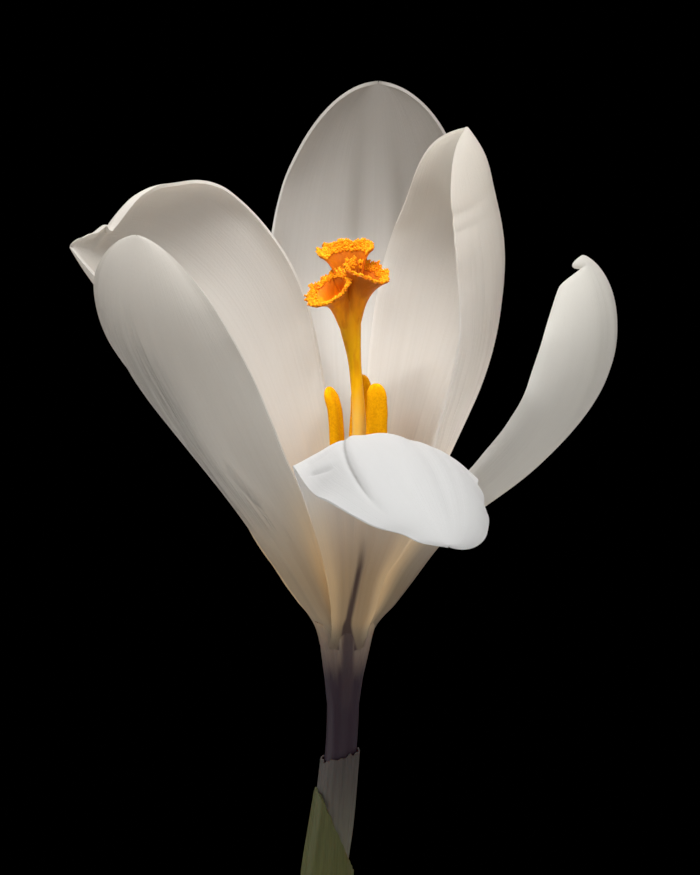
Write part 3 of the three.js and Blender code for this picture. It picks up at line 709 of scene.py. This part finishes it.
def tube_finish():
    """Skin with fine streaks, and a purple line down from the claw of each outer petal."""
    material, shader, place = new_finish(
        "flower_tube", Specular_IOR_Level=0.35, Subsurface_Weight=0.2, Subsurface_Scale=0.0006)
    height = place.coordinate("Z")
    streaks = place.stretched(1, 1, 0.03).grain(2.2, 3)
    level = height + 3 * (streaks - 0.5)
    shade = level.step(90, 98).blend(tone(196, 192, 176), tone(39, 21, 35))
    shade = level.step(106.2, 111).blend(shade, tone(132, 114, 100))
    shade = level.step(110, 113.5).blend(shade, tone(176, 152, 118))
    shade = (streaks.step(0.5, 0.64) * 0.25).blend(shade, tone(44, 30, 44))
    x, y = place.coordinate("X") - THROAT.x, place.coordinate("Y")
    for azimuth in OUTER_AZIMUTHS:
        across, out = math.cos(math.radians(azimuth)), math.sin(math.radians(azimuth))
        line = abs(x * across + y * out).step(0.75, 0.3) * (x * out - y * across).step(0, 0.5)
        shade = (line * level.step(103, 106) * 0.85).blend(shade, tone(58, 42, 48))
    feed(shader, Base_Color=shade, Roughness=0.5 + 0.15 * streaks, Normal=streaks.bump(0.08))
    return material


tube_rows = 90
tube_top = THROAT.z + 2.5
tube_heights = [SHOOT_FOOT + (tube_top - SHOOT_FOOT) * i / tube_rows for i in range(tube_rows + 1)]
tube = turned("flower_tube_skin", [
    (0, SHOOT_FOOT),
    *[(tube_radius(z), z) for z in tube_heights],
    (1.2, tube_top + 0.1),
    (0.9, tube_top - 0.8),
    (0, tube_top - 1),
], 48)


def ribbed(point):
    """Six soft ribs, one below each petal, which fade out down the tube."""
    angle = math.atan2(point.x, -point.y)
    share = min(max((point.z - THROAT.z + 12) / 12, 0), 1) ** 2
    rib = 1 + 0.035 * share * math.cos(6 * angle - math.radians(18))
    return with_shoot(Vector((point.x * rib, point.y * rib, point.z)))


reshape(tube, ribbed)
finish(tube, tube_finish(), 50)
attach(tube, "root")
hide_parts("flower_tube")

# ---------------------------------------------------------------- papery and green sheaths
# Two thin sheaths wrap the tube. The inner one is a papery membrane that ends about 10 mm below the throat,
# and the outer one is green and firmer, and reaches higher on its left side.

PAPERY_GAP = 0.2
PAPERY_MOUTH = THROAT.z - 10.6
GREEN_MOUTH = THROAT.z - 18
GREEN_RADIUS = 1.84
GREEN_FLARE = 0.035


def papery_radius(z):
    return tube_radius(z) + PAPERY_GAP


def green_radius(z):
    """The green sheath's radius: it widens downwards over the 12 mm that start 14 mm below the throat."""
    return GREEN_RADIUS + GREEN_FLARE * min(max(THROAT.z - 14 - z, 0), 12)


papery = sheath("papery_sheath_skin", papery_radius, PAPERY_MOUTH, 0.5, 70, 0.14, 0.6, rows=80, around=72)
# Its colours are darkened, most towards its mouth, to paint the shade that the bloom casts on it; the
# membrane itself is paler.
membrane = membrane_finish(
    "shaded_papery_membrane", tone(118, 115, 98), tone(72, 66, 63), tone(62, 55, 51), 84, 100, 0.5)
finish(papery, membrane, 60)
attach(papery, "root")
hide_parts("papery_sheath")

green = sheath("green_sheath_skin", green_radius, GREEN_MOUTH, 4.2, -72, 0.22, 0.5, rows=70, around=72)
membrane = membrane_finish(
    "green_membrane", tone(108, 111, 56), tone(80, 80, 44), tone(66, 68, 36), 70, 96, 0.5)
finish(green, membrane, 60)
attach(green, "root")
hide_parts("green_sheath")

# ---------------------------------------------------------------- petals
# Six white petals, 45 to 50 mm long, 0.3 mm thick and slightly see-through. Their beige claws run down into
# the tube, with a purple line up each outer one, and fine veins follow the blades. The front petal folds
# outwards over its claw, the left back one bends outwards, and the rest cup in.

# A dent is (u, v, spread in u, spread in v, depth) and a crease (from u, v, to u, v, depth). A positive depth
# pushes the sheet outwards, and so do the rolls of the left and the right margin. Wrinkles are
# (side, strength). The line up the claw is as strong as `stripe`, and `lead` leans its foot to one side.
# Each petal's white, tip and foot colours are lighter or darker than the others' as painted light and shade.
PETAL_BLADE = {
    "root": 1.6, "drift": [0, 0, 0], "groove": 0.5, "rolls": (0, 0), "nicks": [], "dents": [], "creases": [],
    "wrinkles": (1, 0), "furrow_shade": 0, "sheer": 0.45, "stripe": 0.95, "lead": 0,
    "white": tone(243, 241, 237), "foot_tone_and_light": tone(205, 178, 142),
}
PETALS = {
    "back": {
        "azimuth": 168, "length": 50.4, "half": 10.4, "claw": 0.2, "widest": 0.62, "tip": (2, 2),
        "lean": [21, 18, 15, 10, 4, 1], "sway": [-10, 0, 8], "twist": [10, 4, 0],
        "left": [52, 36, 28], "right": [66, 43, 36], "groove": 2, "rolls": (-0.12, -0.12), "furrow_shade": 0.35,
        "stripe": 0.25, "tip_light_and_shade": tone(190, 184, 176),
    },
    "right_back": {
        "azimuth": 111, "length": 49.7, "half": 11.8, "claw": 0.21, "widest": 0.67, "tip": (2, 2.25),
        "lean": [20, 22, 22, 17, -5, -28], "sway": [5, 0, -10], "drift": [-2, -3, -3], "twist": [5, 9, 7],
        "left": [65, 80, 95], "right": [55, 62, 68], "groove": 0.6, "rolls": (0.1, 0), "sheer": 0.7,
        "nicks": [(0.86, 1, 0.5, 0.1), (0.9, -1, 0.3, 0.012), (0.87, -1, 0.2, 0.01)],
        "dents": [(0.95, -0.1, 0.05, 0.35, 0.4)], "wrinkles": (-1, 0.5),
        "white": tone(252, 250, 247), "foot_tone_and_light": tone(226, 204, 172), "tip_light_and_shade": tone(236, 232, 225),
    },
    "right": {
        "azimuth": 76, "length": 44.8, "half": 8.2, "claw": 0.23, "widest": 0.67, "tip": (2.1, 1.8),
        "lean": [36, 35, 51, 38, 5, -44], "sway": [8, 0, -10], "drift": [-1, 5, 12], "twist": [-10, -8, -7],
        "left": [70, 62, 56], "right": [73, 57, 43], "rolls": (-0.2, 0),
        "nicks": [(0.2, -1, -0.9, 0.08), (0.978, -1, 1.9, 0.009)], "stripe": 0.25,
        "white": tone(228, 226, 221), "foot_tone_and_light": tone(168, 152, 128), "tip_light_and_shade": tone(240, 237, 230),
    },
    "front": {
        "azimuth": 6.6, "length": 50.3, "half": 8.9, "claw": 0.19, "widest": 0.66, "tip": (2.7, 1.8),
        "root": 1.9, "lean": [28, 19, 29, 72, 101, 123], "sway": [-5, 4, 12], "drift": [7, 0, -1],
        "twist": [9, 5, -12, -17], "left": [38, -7, -28, -49, -35], "right": [33, -2, -36, -45, -42],
        "groove": 0.3, "stripe": 0.85, "lead": 0.35,
        "nicks": [(0.17, 1, 0.5, 0.06), (0.66, 1, 0.5, 0.04), (0.72, -1, -0.6, 0.1), (0.967, -1, 0.7, 0.018)],
        "dents": [(0.6, -1, 0.09, 0.4, 0.7), (0.75, -1, 0.12, 0.4, 1.6)],
        "creases": [
            (0.55, -0.38, 0.9, -0.7, 0.28), (0.6, -0.9, 0.65, -0.62, 0.2), (0.66, -0.92, 0.73, -0.7, 0.2),
        ],
        "white": tone(238, 237, 236), "foot_tone_and_light": tone(204, 182, 148), "tip_light_and_shade": tone(237, 237, 236),
    },
    "left": {
        "azimuth": -43, "length": 46.7, "half": 8.7, "claw": 0.26, "widest": 0.67, "tip": (2.1, 1.9),
        "lean": [27, 33, 35, 31, 19, -24], "sway": [-16, -14, -3], "drift": [0, 0, -5], "twist": [15, 7, 14],
        "left": [40, 43, 39], "right": [69, 59, 51], "groove": 0.4, "rolls": (0.4, 0.3), "stripe": 0.1,
        "nicks": [(0.3, 1, -0.7, 0.12), (0.88, -1, 0.7, 0.09)], "wrinkles": (-1, 1.3),
        "creases": [
            (0.375, 0.41, 0.52, 0.24, 0.22), (0.35, -0.1, 0.62, -0.3, 0.1), (0.4, 0.1, 0.6, -0.05, 0.06),
        ],
        "white": tone(227, 224, 218), "foot_tone_and_light": tone(202, 185, 157), "tip_light_and_shade": tone(218, 213, 205),
    },
    "left_back": {
        "azimuth": -107, "length": 45.8, "half": 13.1, "claw": 0.2, "widest": 0.78, "tip": (1.8, 1.2),
        "root": 1.9, "lean": [5, 20, 29, 28, 46, 46], "sway": [-1, 4, 14], "drift": [-3, 7, 30],
        "twist": [-14, -21, -24, -25], "left": [57, 54, 55, 61, 83], "right": [67, 53, 65, 63, 59],
        "rolls": (-0.5, 0), "white": tone(232, 228, 222), "tip_light_and_shade": tone(224, 219, 211),
        "nicks": [
            (0.91, -1, -0.5, 0.025), (0.944, -1, 2.6, 0.009),
            (0.966, -1, 1.7, 0.016), (0.985, -1, 0.5, 0.008),
        ],
    },
}
PETAL_WALL = 0.3
PETAL_ROWS = 170
PETAL_COLUMNS = 96
MERGE_FOOT = 0.3
MERGE_TOP = 4


def crease(blade, u, v, half, line):
    """How far a crease along a line in (u, v) pushes the sheet: a sharp valley beside a low ridge."""
    u0, v0, u1, v1, depth = line
    run, rise = (u1 - u0) * blade["length"], (v1 - v0) * half
    x, y = (u - u0) * blade["length"], (v - v0) * half
    length = math.hypot(run, rise)
    share = (x * run + y * rise) / length ** 2
    aside = (x * rise - y * run) / length
    fade = min(max(5 * share, 0), 1) * min(max(4 * (1 - share) + 0.3, 0), 1)
    valley = math.exp(-((aside / 0.25) ** 2))
    ridge = math.exp(-(((aside + 0.6) / 0.5) ** 2))
    return depth * fade * (valley - 0.4 * ridge)


def petal_relief(name, blade):
    """The petal's own relief: grooves, flutes, a waver, a ruffled or rolled margin, dents and creases."""
    seed = Vector((0, 0, sum(map(ord, name))))

    def relief(u, v, half):
        away = v * half
        rise = min(u * 5, 1) * min((1 - u) * 5, 1)
        side_grooves = sum(math.exp(-(((away - at) / 0.8) ** 2)) for at in (-2.3, 1.7))
        groove = -0.16 * math.exp(-((away / 0.9) ** 2)) + 0.12 * blade["groove"] * side_grooves
        flutes = 0.03 * math.cos(math.pi * 9 * v) * (1 - abs(v))
        waver = 0.3 * noise.noise(Vector((u * 4, v * 1.3, 0)) + seed)
        ruffle = 0.12 * math.sin(u * 23 + seed.z + 2 * v) + 0.2 * noise.noise(Vector((u * 14, v, 5)) + seed)
        roll = blade["rolls"][v > 0] * min(max((abs(v) - 0.86) / 0.14, 0), 1) ** 2 * min(u * 4, 1)
        height = rise * (groove + flutes + waver + abs(v) ** 5 * ruffle) + min(1, 12 * (1 - u)) * roll
        for at_u, at_v, wide_u, wide_v, depth in blade["dents"]:
            height += depth * math.exp(-(((u - at_u) / wide_u) ** 2) - ((v - at_v) / wide_v) ** 2)
        return height + sum(crease(blade, u, v, half, line) for line in blade["creases"])

    return relief


def into_tube(point):
    """Draw the foot of a claw, from 4 mm above the throat down, into the wall of the tube's funnel."""
    if point.z >= MERGE_TOP:
        return point
    radius = math.hypot(point.x, point.y)
    share = max((point.z - MERGE_FOOT) / (MERGE_TOP - MERGE_FOOT), 0)
    share = share * share * (3 - 2 * share)
    ring = tube_radius(THROAT.z + point.z) - PETAL_WALL / 2 - 0.02
    grown = (ring + (radius - ring) * share) / radius
    return Vector((point.x * grown, point.y * grown, point.z))


def petal_finish(name, blade):
    material, shader, place = new_finish(f"petal_{name}", Specular_IOR_Level=0.3)
    u, v, spread = blade_places(place)
    across = abs(v)
    veins = spread.stretched(70, 1.6, 0).grain(1, 3, 0.6)
    fine = spread.stretched(190, 5, 0).grain(1, 2)
    cells = place.grain(5, 2)
    stray = veins - 0.5
    # The white turns to the tip colour: painted shade where a tip is greyer, painted light where it is paler.
    white = (u + 0.04 * veins).step(0.55, 1).blend(blade["white"], blade["tip_light_and_shade"])
    # The claw pales to cream at its margins: a painted glow where the thin margins catch the light.
    claw = (across + 0.1 * stray).step(0.5, 0.9).blend(blade["foot_tone_and_light"], tone(240, 219, 180))
    shade = (u + 0.05 * stray).step(0.46, 0.14).blend(white, claw)
    shade = (u + 0.03 * stray).step(0.08, -0.02).blend(shade, tone(132, 114, 100))
    shade = (veins.step(0.42, 0.62) * u.step(0.9, 0.2) * 0.09).blend(shade, tone(186, 178, 160))

    # The purple line up the claw, which leans over towards its foot and narrows upwards.
    lead = 0.2 - u.at_least(0.06).at_most(0.2)
    line = abs(v + 5 * blade["lead"] * lead * (0.2 + 0.8 * u.step(0, 0.07)))
    line = line + 0.1 * stray + 0.5 * (u - 0.1) + 3.5 * (u.at_most(0.08) - 0.08)
    line = line.step(0.21, 0.05) * u.step(0.28, 0.18) * blade["stripe"]
    shade = line.blend(shade, tone(76, 55, 62))

    # Grey lines on both sides of the midrib, near the tip: painted shade in its side grooves.
    furrow_shadow = (abs(across - 0.2) + 0.08 * stray).step(0.13, 0)
    furrow_shadow = furrow_shadow * u.step(0.66, 0.76) * u.step(0.98, 0.8) * blade["furrow_shade"]
    shade = furrow_shadow.blend(shade, tone(178, 172, 162))

    # The painted shadows of the creases, and painted shade in the fine wrinkles of one flank.
    for u0, v0, u1, v1, depth in blade["creases"]:
        aside = abs(v - v0 - (u - u0) * ((v1 - v0) / (u1 - u0)))
        fold = aside.step(0.035, 0) * u.step(u0 - 0.01, u0 + 0.03) * u.step(u1, u1 - 0.1)
        shade = (fold * (1.5 * depth)).blend(shade, tone(128, 124, 118))
    side, strength = blade["wrinkles"]
    flank = (v * side + 2 * (0.5 - u.at_most(0.5))).step(-0.3, 0.1) * u.step(0.26, 0.38) * u.step(0.95, 0.6)
    folds = spread.stretched(30, 1.6, 0).grain(1, 3, 0.6).step(0.42, 0.62) * flank * strength
    # Painted shade where the flank wrinkles.
    shade = (0.15 * folds).blend(shade, tone(158, 151, 140))

    surface = 0.45 * veins + 0.3 * fine + 0.25 * cells + 3 * folds
    normal = surface.bump(0.07, 0.8)
    feed(shader, Base_Color=shade, Roughness=0.5 + 0.15 * cells, Normal=normal)
    tree = material.node_tree
    glow = shade.node("BsdfTranslucent", {}, {"Color": shade, "Normal": normal})
    through = shade.node("MixShader", {}, {0: blade["sheer"], 1: Wire(tree, shader.outputs["BSDF"]), 2: glow})
    tree.links.new(through.socket, tree.nodes["Material Output"].inputs["Surface"])
    return material


for name, shape in PETALS.items():
    blade = {**PETAL_BLADE, **shape}
    petal = blade_sheet(f"petal_{name}", blade, PETAL_ROWS, PETAL_COLUMNS, petal_relief(name, blade))
    reshape(petal, into_tube)
    add_modifier(petal, "SOLIDIFY", thickness=PETAL_WALL, offset=0)
    reshape(petal, lambda point: point + THROAT)
    finish(petal, petal_finish(name, blade), 70)
    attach(petal, "root")
    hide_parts("bloom")

# ---------------------------------------------------------------- stamens
# Three stamens stand on the throat. Each is a thin pale filament that carries a long orange-yellow anther,
# made of two pollen sacs with a groove between them, which has opened and is dusted with pollen.

FILAMENT_FOOT_RING = 1.25
FILAMENT_FOOT = 2.6
FILAMENT_PROFILE = [(0, 0), (0.5, 0.0), (0.36, 0.2), (0.32, 0.6), (0.24, 0.96), (0.16, 1), (0, 1)]
ANTHER_RADIUS = 0.98

# Where each anther's base and tip are from the throat, how it is turned, and how far it bows to the right.
STAMENS = {
    "left": {
        "azimuth": -105, "base": (-0.65, -1.05, 12.6), "tip": (-1.55, -0.95, 24.4), "turn": 65, "bow": 0.5,
    },
    "right": {
        "azimuth": 60, "base": (2.45, -1.25, 12.9), "tip": (2.7, -1.45, 24.9), "turn": 0, "bow": 0.2,
    },
    "back": {
        "azimuth": 155, "base": (1.1, 1.95, 12.8), "tip": (1.45, 2.25, 24.6), "turn": 0, "bow": 0.05,
    },
}


def curve_through(points):
    """A smooth curve as a function from a share of its length to a place and two ways square to it."""
    points = [Vector(point) for point in points]

    def place(t):
        return Vector(along([point[axis] for point in points], t) for axis in range(3))

    def at(t):
        ahead = (place(min(t + 0.01, 1)) - place(max(t - 0.01, 0))).normalized()
        side = Vector((0, 1, 0)).cross(ahead).normalized()
        return place(t), side, ahead.cross(side)

    return at


def follow(piece, curve):
    """Bend a piece that was turned about Z, 1 mm high, so that its height runs along a curve."""
    def bent(point):
        place, side, front = curve(point.z)
        return place + side * point.x + front * point.y

    reshape(piece, bent)


def anther_finish():
    material, shader, place = new_finish(
        "anther", Roughness=0.9, Specular_IOR_Level=0.08, Subsurface_Weight=0.1, Subsurface_Scale=0.0004)
    dust = place.grain(5, 4, 0.7)
    shade = dust.step(0.3, 0.7).blend(tone(228, 152, 0), tone(246, 172, 2))
    feed(shader, Base_Color=shade, Normal=dust.bump(0.05))
    return material


def filament_finish():
    material, shader, place = new_finish(
        "filament", Roughness=0.5, Subsurface_Weight=0.3, Subsurface_Scale=0.0006)
    streaks = place.stretched(1, 1, 0.1).grain(3, 2)
    shade = streaks.step(0.3, 0.7).blend(tone(226, 206, 160), tone(240, 226, 190))
    feed(shader, Base_Color=shade, Normal=streaks.bump(0.05))
    return material


def sacs(point):
    """Two pollen sacs side by side, each with the slit it has opened along."""
    angle = math.atan2(point.y, point.x)
    groove = 1 - 0.34 * abs(math.sin(angle)) ** 9 - 0.08 * abs(math.cos(angle)) ** 14
    lump = 1 + 0.06 * noise.noise(Vector((point.x * 2, point.y * 2, point.z * 14)))
    return Vector((point.x * groove * lump * 1.16, point.y * groove * lump * 0.64, point.z))


anther_yellow = anther_finish()
filament_pale = filament_finish()
anther_shares = [0.5 - 0.5 * math.cos(math.pi * i / 26) for i in range(27)]
anther_profile = [
    (ANTHER_RADIUS * max(1 - abs(2 * s - 1) ** 7, 0) ** 0.5 * (1 - 0.2 * s), s) for s in anther_shares]
for side, stamen in STAMENS.items():
    turn = math.radians(stamen["azimuth"])
    foot = Vector((math.sin(turn), -math.cos(turn), 0)) * FILAMENT_FOOT_RING + Vector((0, 0, FILAMENT_FOOT))
    base, tip = Vector(stamen["base"]), Vector(stamen["tip"])
    filament = turned(f"filament_{side}", FILAMENT_PROFILE, 20)
    add_modifier(filament, "SUBSURF", levels=2, render_levels=2)
    follow(filament, curve_through([foot, foot.lerp(base, 0.5), base + Vector((0, 0, 1.2))]))

    anther = turned(f"anther_{side}", anther_profile, 64)
    reshape(anther, sacs)
    anther.data.transform(Matrix.Rotation(math.radians(stamen["turn"]), 4, "Z"))
    bow = Vector((stamen["bow"], -0.1, 0))
    follow(anther, curve_through([base, base.lerp(tip, 0.4) + bow * 0.7, base.lerp(tip, 0.8) + bow, tip]))

    for piece, material in ((filament, filament_pale), (anther, anther_yellow)):
        reshape(piece, lambda point: point + THROAT)
        finish(piece, material, 60)
        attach(piece, "root")
        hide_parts(f"stamen_{side}")

# ---------------------------------------------------------------- pistil
# One yellow style rises from the tube and divides into three orange stigma branches: a fan at the back and
# two trumpets before it. Their smooth sheets widen to a waved and notched rim, where papillae stand like a
# short fringe.

# Places from the throat along the style's middle, each with its radius.
STYLE = [
    (0, 0, -0.4, 0.5), (0.1, 0, 6, 0.5), (0.8, 0, 13, 0.6), (1.25, 0, 20, 0.62),
    (0.9, 0, 26, 0.56), (0.45, 0, 30, 0.97), (0.4, -0.2, 32.4, 0.9),
]

# A branch opens round its axis from the way it faces, over its span in degrees. Its rim droops more and more
# away from there, and recurves all round.
BRANCHES = {
    "top": {
        "axis": [(0.45, 0.2, 29.9), (0.5, 0.5, 33.2), (0.0, 1.0, 37.15)],
        "radius": 2.4, "flare": 4.4, "flat": 0.65, "facing": 180, "span": 220, "droop": 0.75, "recurve": 0,
    },
    "left": {
        "axis": [(0.35, -0.1, 29.6), (-0.45, -0.4, 32.0), (-1.5, -1.1, 33.7)],
        "radius": 2.25, "flare": 5, "flat": 0.9, "facing": -20, "span": 357, "droop": 0, "recurve": 0.25,
    },
    "right": {
        "axis": [(0.55, 0, 29.6), (1.0, -0.25, 32.4), (2.0, -0.7, 35.2)],
        "radius": 2.1, "flare": 5, "flat": 0.85, "facing": 30, "span": 350, "droop": 0, "recurve": 0.3,
    },
}
BRANCH_ROWS = 48
BRANCH_COLUMNS = 200
BRANCH_WALL = 0.2
PAPILLAE = 1600


def stigma_finish():
    material, shader, place = new_finish(
        "stigma", Roughness=0.5, Specular_IOR_Level=0.15, Subsurface_Weight=0.15, Subsurface_Scale=0.0005)
    height = place.coordinate("Z")
    streaks = place.stretched(1, 1, 0.2).grain(1.6, 3)
    level = height + 4 * (streaks - 0.5)
    shade = level.step(128, 135).blend(tone(238, 204, 112), tone(250, 186, 0))
    shade = level.step(137, 142).blend(shade, tone(246, 150, 2))
    shade = level.step(140.5, 144).blend(shade, tone(186, 98, 14))
    shade = (streaks.step(0.5, 0.62) * level.step(132, 138) * 0.35).blend(shade, tone(216, 118, 8))
    feed(shader, Base_Color=shade, Normal=streaks.bump(0.06))
    return material


def papilla_finish():
    material, shader, place = new_finish(
        "papillae", Roughness=0.6, Specular_IOR_Level=0.15, Subsurface_Weight=0.15, Subsurface_Scale=0.0003)
    spots = place.grain(3, 2)
    shade = spots.step(0.35, 0.65).blend(tone(232, 130, 4), tone(246, 166, 14))
    feed(shader, Base_Color=shade)
    return material


def branch_point(branch, s, angle):
    """A point of a branch, s of the way out to its rim and at an angle round its axis, 0 to the front."""
    place, side, depth = curve_through(branch["axis"])(s)
    around = Vector((math.sin(angle), -math.cos(angle), 0))
    seed = Vector((branch["facing"], 3, 1))
    wave, frill, notch = (noise.noise(around * waves + seed) for waves in (1.4, 4, 12))
    rim = s ** 6
    droop = branch["droop"] * (1 - math.cos(angle - math.radians(branch["facing"])))
    ring = 0.66 + 0.5 * s + (branch["radius"] - 1.16) * s ** branch["flare"]
    ring *= 1 + rim * (0.12 * wave + 0.12 * frill + 0.07 * notch)
    rise = rim * (0.4 * wave + 0.35 * frill + 0.14 * notch - branch["recurve"] - droop)
    flat = 1 + (branch["flat"] - 1) * s * s
    return place + side.cross(depth) * rise + side * (ring * around.x) + depth * (ring * flat * around.y)


stigma_orange = stigma_finish()
style = turned("style", [(0, 0), *[(1, i / 60) for i in range(61)], (0, 1)], 28)
style_radii = [station[3] for station in STYLE]


def thickened(point):
    radius = along(style_radii, point.z)
    return Vector((point.x * radius, point.y * radius, point.z))


reshape(style, thickened)
follow(style, curve_through([station[:3] for station in STYLE]))
reshape(style, lambda point: point + THROAT)
pistil = [(style, stigma_orange, 60)]

papilla = primitive(bpy.ops.mesh.primitive_ico_sphere_add, "papilla", subdivisions=1, radius=1)
papilla_orange = papilla_finish()
for name, branch in BRANCHES.items():
    middle, half_span = math.radians(branch["facing"]), math.radians(branch["span"] / 2)
    sheet = primitive(
        bpy.ops.mesh.primitive_grid_add, f"stigma_{name}",
        x_subdivisions=BRANCH_COLUMNS, y_subdivisions=BRANCH_ROWS, size=2)
    reshape(sheet, lambda point: THROAT + branch_point(
        branch, (point.y + 1) / 2, middle + half_span * point.x))
    add_modifier(sheet, "SOLIDIFY", thickness=BRANCH_WALL, offset=0)

    draw = random.Random(7)
    spots = []
    for _ in range(PAPILLAE):
        angle = middle + half_span * draw.uniform(-1, 1)
        s = 1 - 0.12 * draw.random() ** 1.4
        place = branch_point(branch, s, angle)
        outwards = (place - branch_point(branch, s - 0.03, angle)).normalized()
        inwards = (curve_through(branch["axis"])(s)[0] - place).normalized()
        lean = Vector(draw.uniform(-0.5, 0.5) for _ in range(3)) + inwards * draw.uniform(0, 1.1)
        ahead = (outwards + lean).normalized()
        turn = Vector((0, 0, 1)).rotation_difference(ahead).to_matrix().to_4x4()
        width, length = draw.uniform(0.055, 0.09), draw.uniform(0.1, 0.2)
        root = Matrix.Translation(THROAT + place + inwards * 0.06 + ahead * length * 0.6)
        spots.append(root @ turn @ Matrix.Diagonal((width, width, length, 1)))
    fringe = scattered(f"papillae_{name}", [papilla], spots)
    pistil += [(sheet, stigma_orange, 60), (fringe, papilla_orange, 80)]
discard([papilla])

for piece, material, sharp in pistil:
    finish(piece, material, sharp)
    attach(piece, "root")
    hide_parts("pistil")

# ---------------------------------------------------------------- floor, camera and lights
# A pale round table top, which ends below the camera's view, stands in a dark room. A long lens looks down
# at the flower by 18 degrees. One large soft light hangs overhead, weak ones all round fill the shadows, and
# four narrow lamps shine down into the cup. All of it is given in metres.

FLOOR_RADIUS = 0.19
FLOOR_THICKNESS = 0.004
CAMERA_DISTANCE = 0.42
CAMERA_DOWN = math.radians(18)
CAMERA_TARGET = Vector((0.002445, 0, 0.1294))
CAMERA_LENS = 194.2

floor = primitive(
    bpy.ops.mesh.primitive_cylinder_add, "table_top",
    vertices=160, radius=FLOOR_RADIUS, depth=FLOOR_THICKNESS, location=(0, 0, -FLOOR_THICKNESS / 2))
add_modifier(floor, "BEVEL", width=0.0008, segments=3)
bpy.ops.object.shade_smooth_by_angle(angle=math.radians(40))
floor_material, floor_shader, floor_place = new_finish("pale_table", Roughness=0.6)
mottle = floor_place.grain(0.05, 4)
feed(floor_shader, Base_Color=mottle.step(0.3, 0.7).blend(tone(214, 211, 206), tone(222, 219, 214)))
floor.data.materials.append(floor_material)

camera = bpy.data.objects.new("camera", bpy.data.cameras.new("camera"))
bpy.context.scene.collection.objects.link(camera)
bpy.context.scene.camera = camera
camera.data.lens = CAMERA_LENS
camera.data.sensor_width = 36
camera.data.clip_start = 0.01
camera.location = CAMERA_TARGET + CAMERA_DISTANCE * Vector((0, -math.cos(CAMERA_DOWN), math.sin(CAMERA_DOWN)))
camera.rotation_euler = (CAMERA_TARGET - camera.location).to_track_quat("-Z", "Y").to_euler()

LIGHTS = {
    "overhead_softbox": {"at": (0, -0.02, 0.46), "size": 0.34, "watts": 1.32},
    "left_fill": {"at": (-0.5, -0.02, 0.15), "size": 0.4, "watts": 1.09},
    "right_fill": {"at": (0.5, 0, 0.2), "size": 0.4, "watts": 0.55},
    "front_right_fill": {"at": (0.27, -0.45, 0.29), "size": 0.4, "watts": 0.74},
    "front_fill": {"at": (0, -0.45, 0.03), "size": 0.3, "watts": 0.33},
    "back_fill": {"at": (0, 0.27, 0.42), "size": 0.3, "watts": 0.3},
}
LIGHT_AIM = Vector((0, 0, 0.11))
CUP_LIGHTS = [Vector((x, -0.1, 0.45)) for x in (-0.15, -0.1, -0.05, 0.0)]
CUP_LIGHT_AIM = Vector((0.002, 0.004, 0.133))
CUP_LIGHT_WATTS = 2.4
CUP_LIGHT_ANGLE = math.radians(6)
CUP_LIGHT_RADIUS = 0.015


def hang(name, kind, at, aim, watts):
    """Hang a lamp that the camera doesn't see, turned to what it lights, and return its settings."""
    lamp = bpy.data.objects.new(name, bpy.data.lights.new(name, kind))
    bpy.context.scene.collection.objects.link(lamp)
    lamp.data.energy = watts
    lamp.location = at
    lamp.rotation_euler = (aim - lamp.location).to_track_quat("-Z", "Y").to_euler()
    lamp.visible_camera = False
    return lamp.data


for name, light in LIGHTS.items():
    softbox = hang(name, "AREA", light["at"], LIGHT_AIM, light["watts"])
    softbox.shape = "DISK"
    softbox.size = light["size"]
for number, at in enumerate(CUP_LIGHTS, 1):
    spot = hang(f"cup_light_{number}", "SPOT", at, CUP_LIGHT_AIM, CUP_LIGHT_WATTS)
    spot.spot_size = CUP_LIGHT_ANGLE
    spot.spot_blend = 1
    spot.shadow_soft_size = CUP_LIGHT_RADIUS

world = bpy.data.worlds.new("dark_room")
world.use_nodes = True
world.node_tree.nodes["Background"].inputs["Color"].default_value = (0, 0, 0, 1)
bpy.context.scene.world = world
bpy.context.scene.view_settings.view_transform = "Standard"
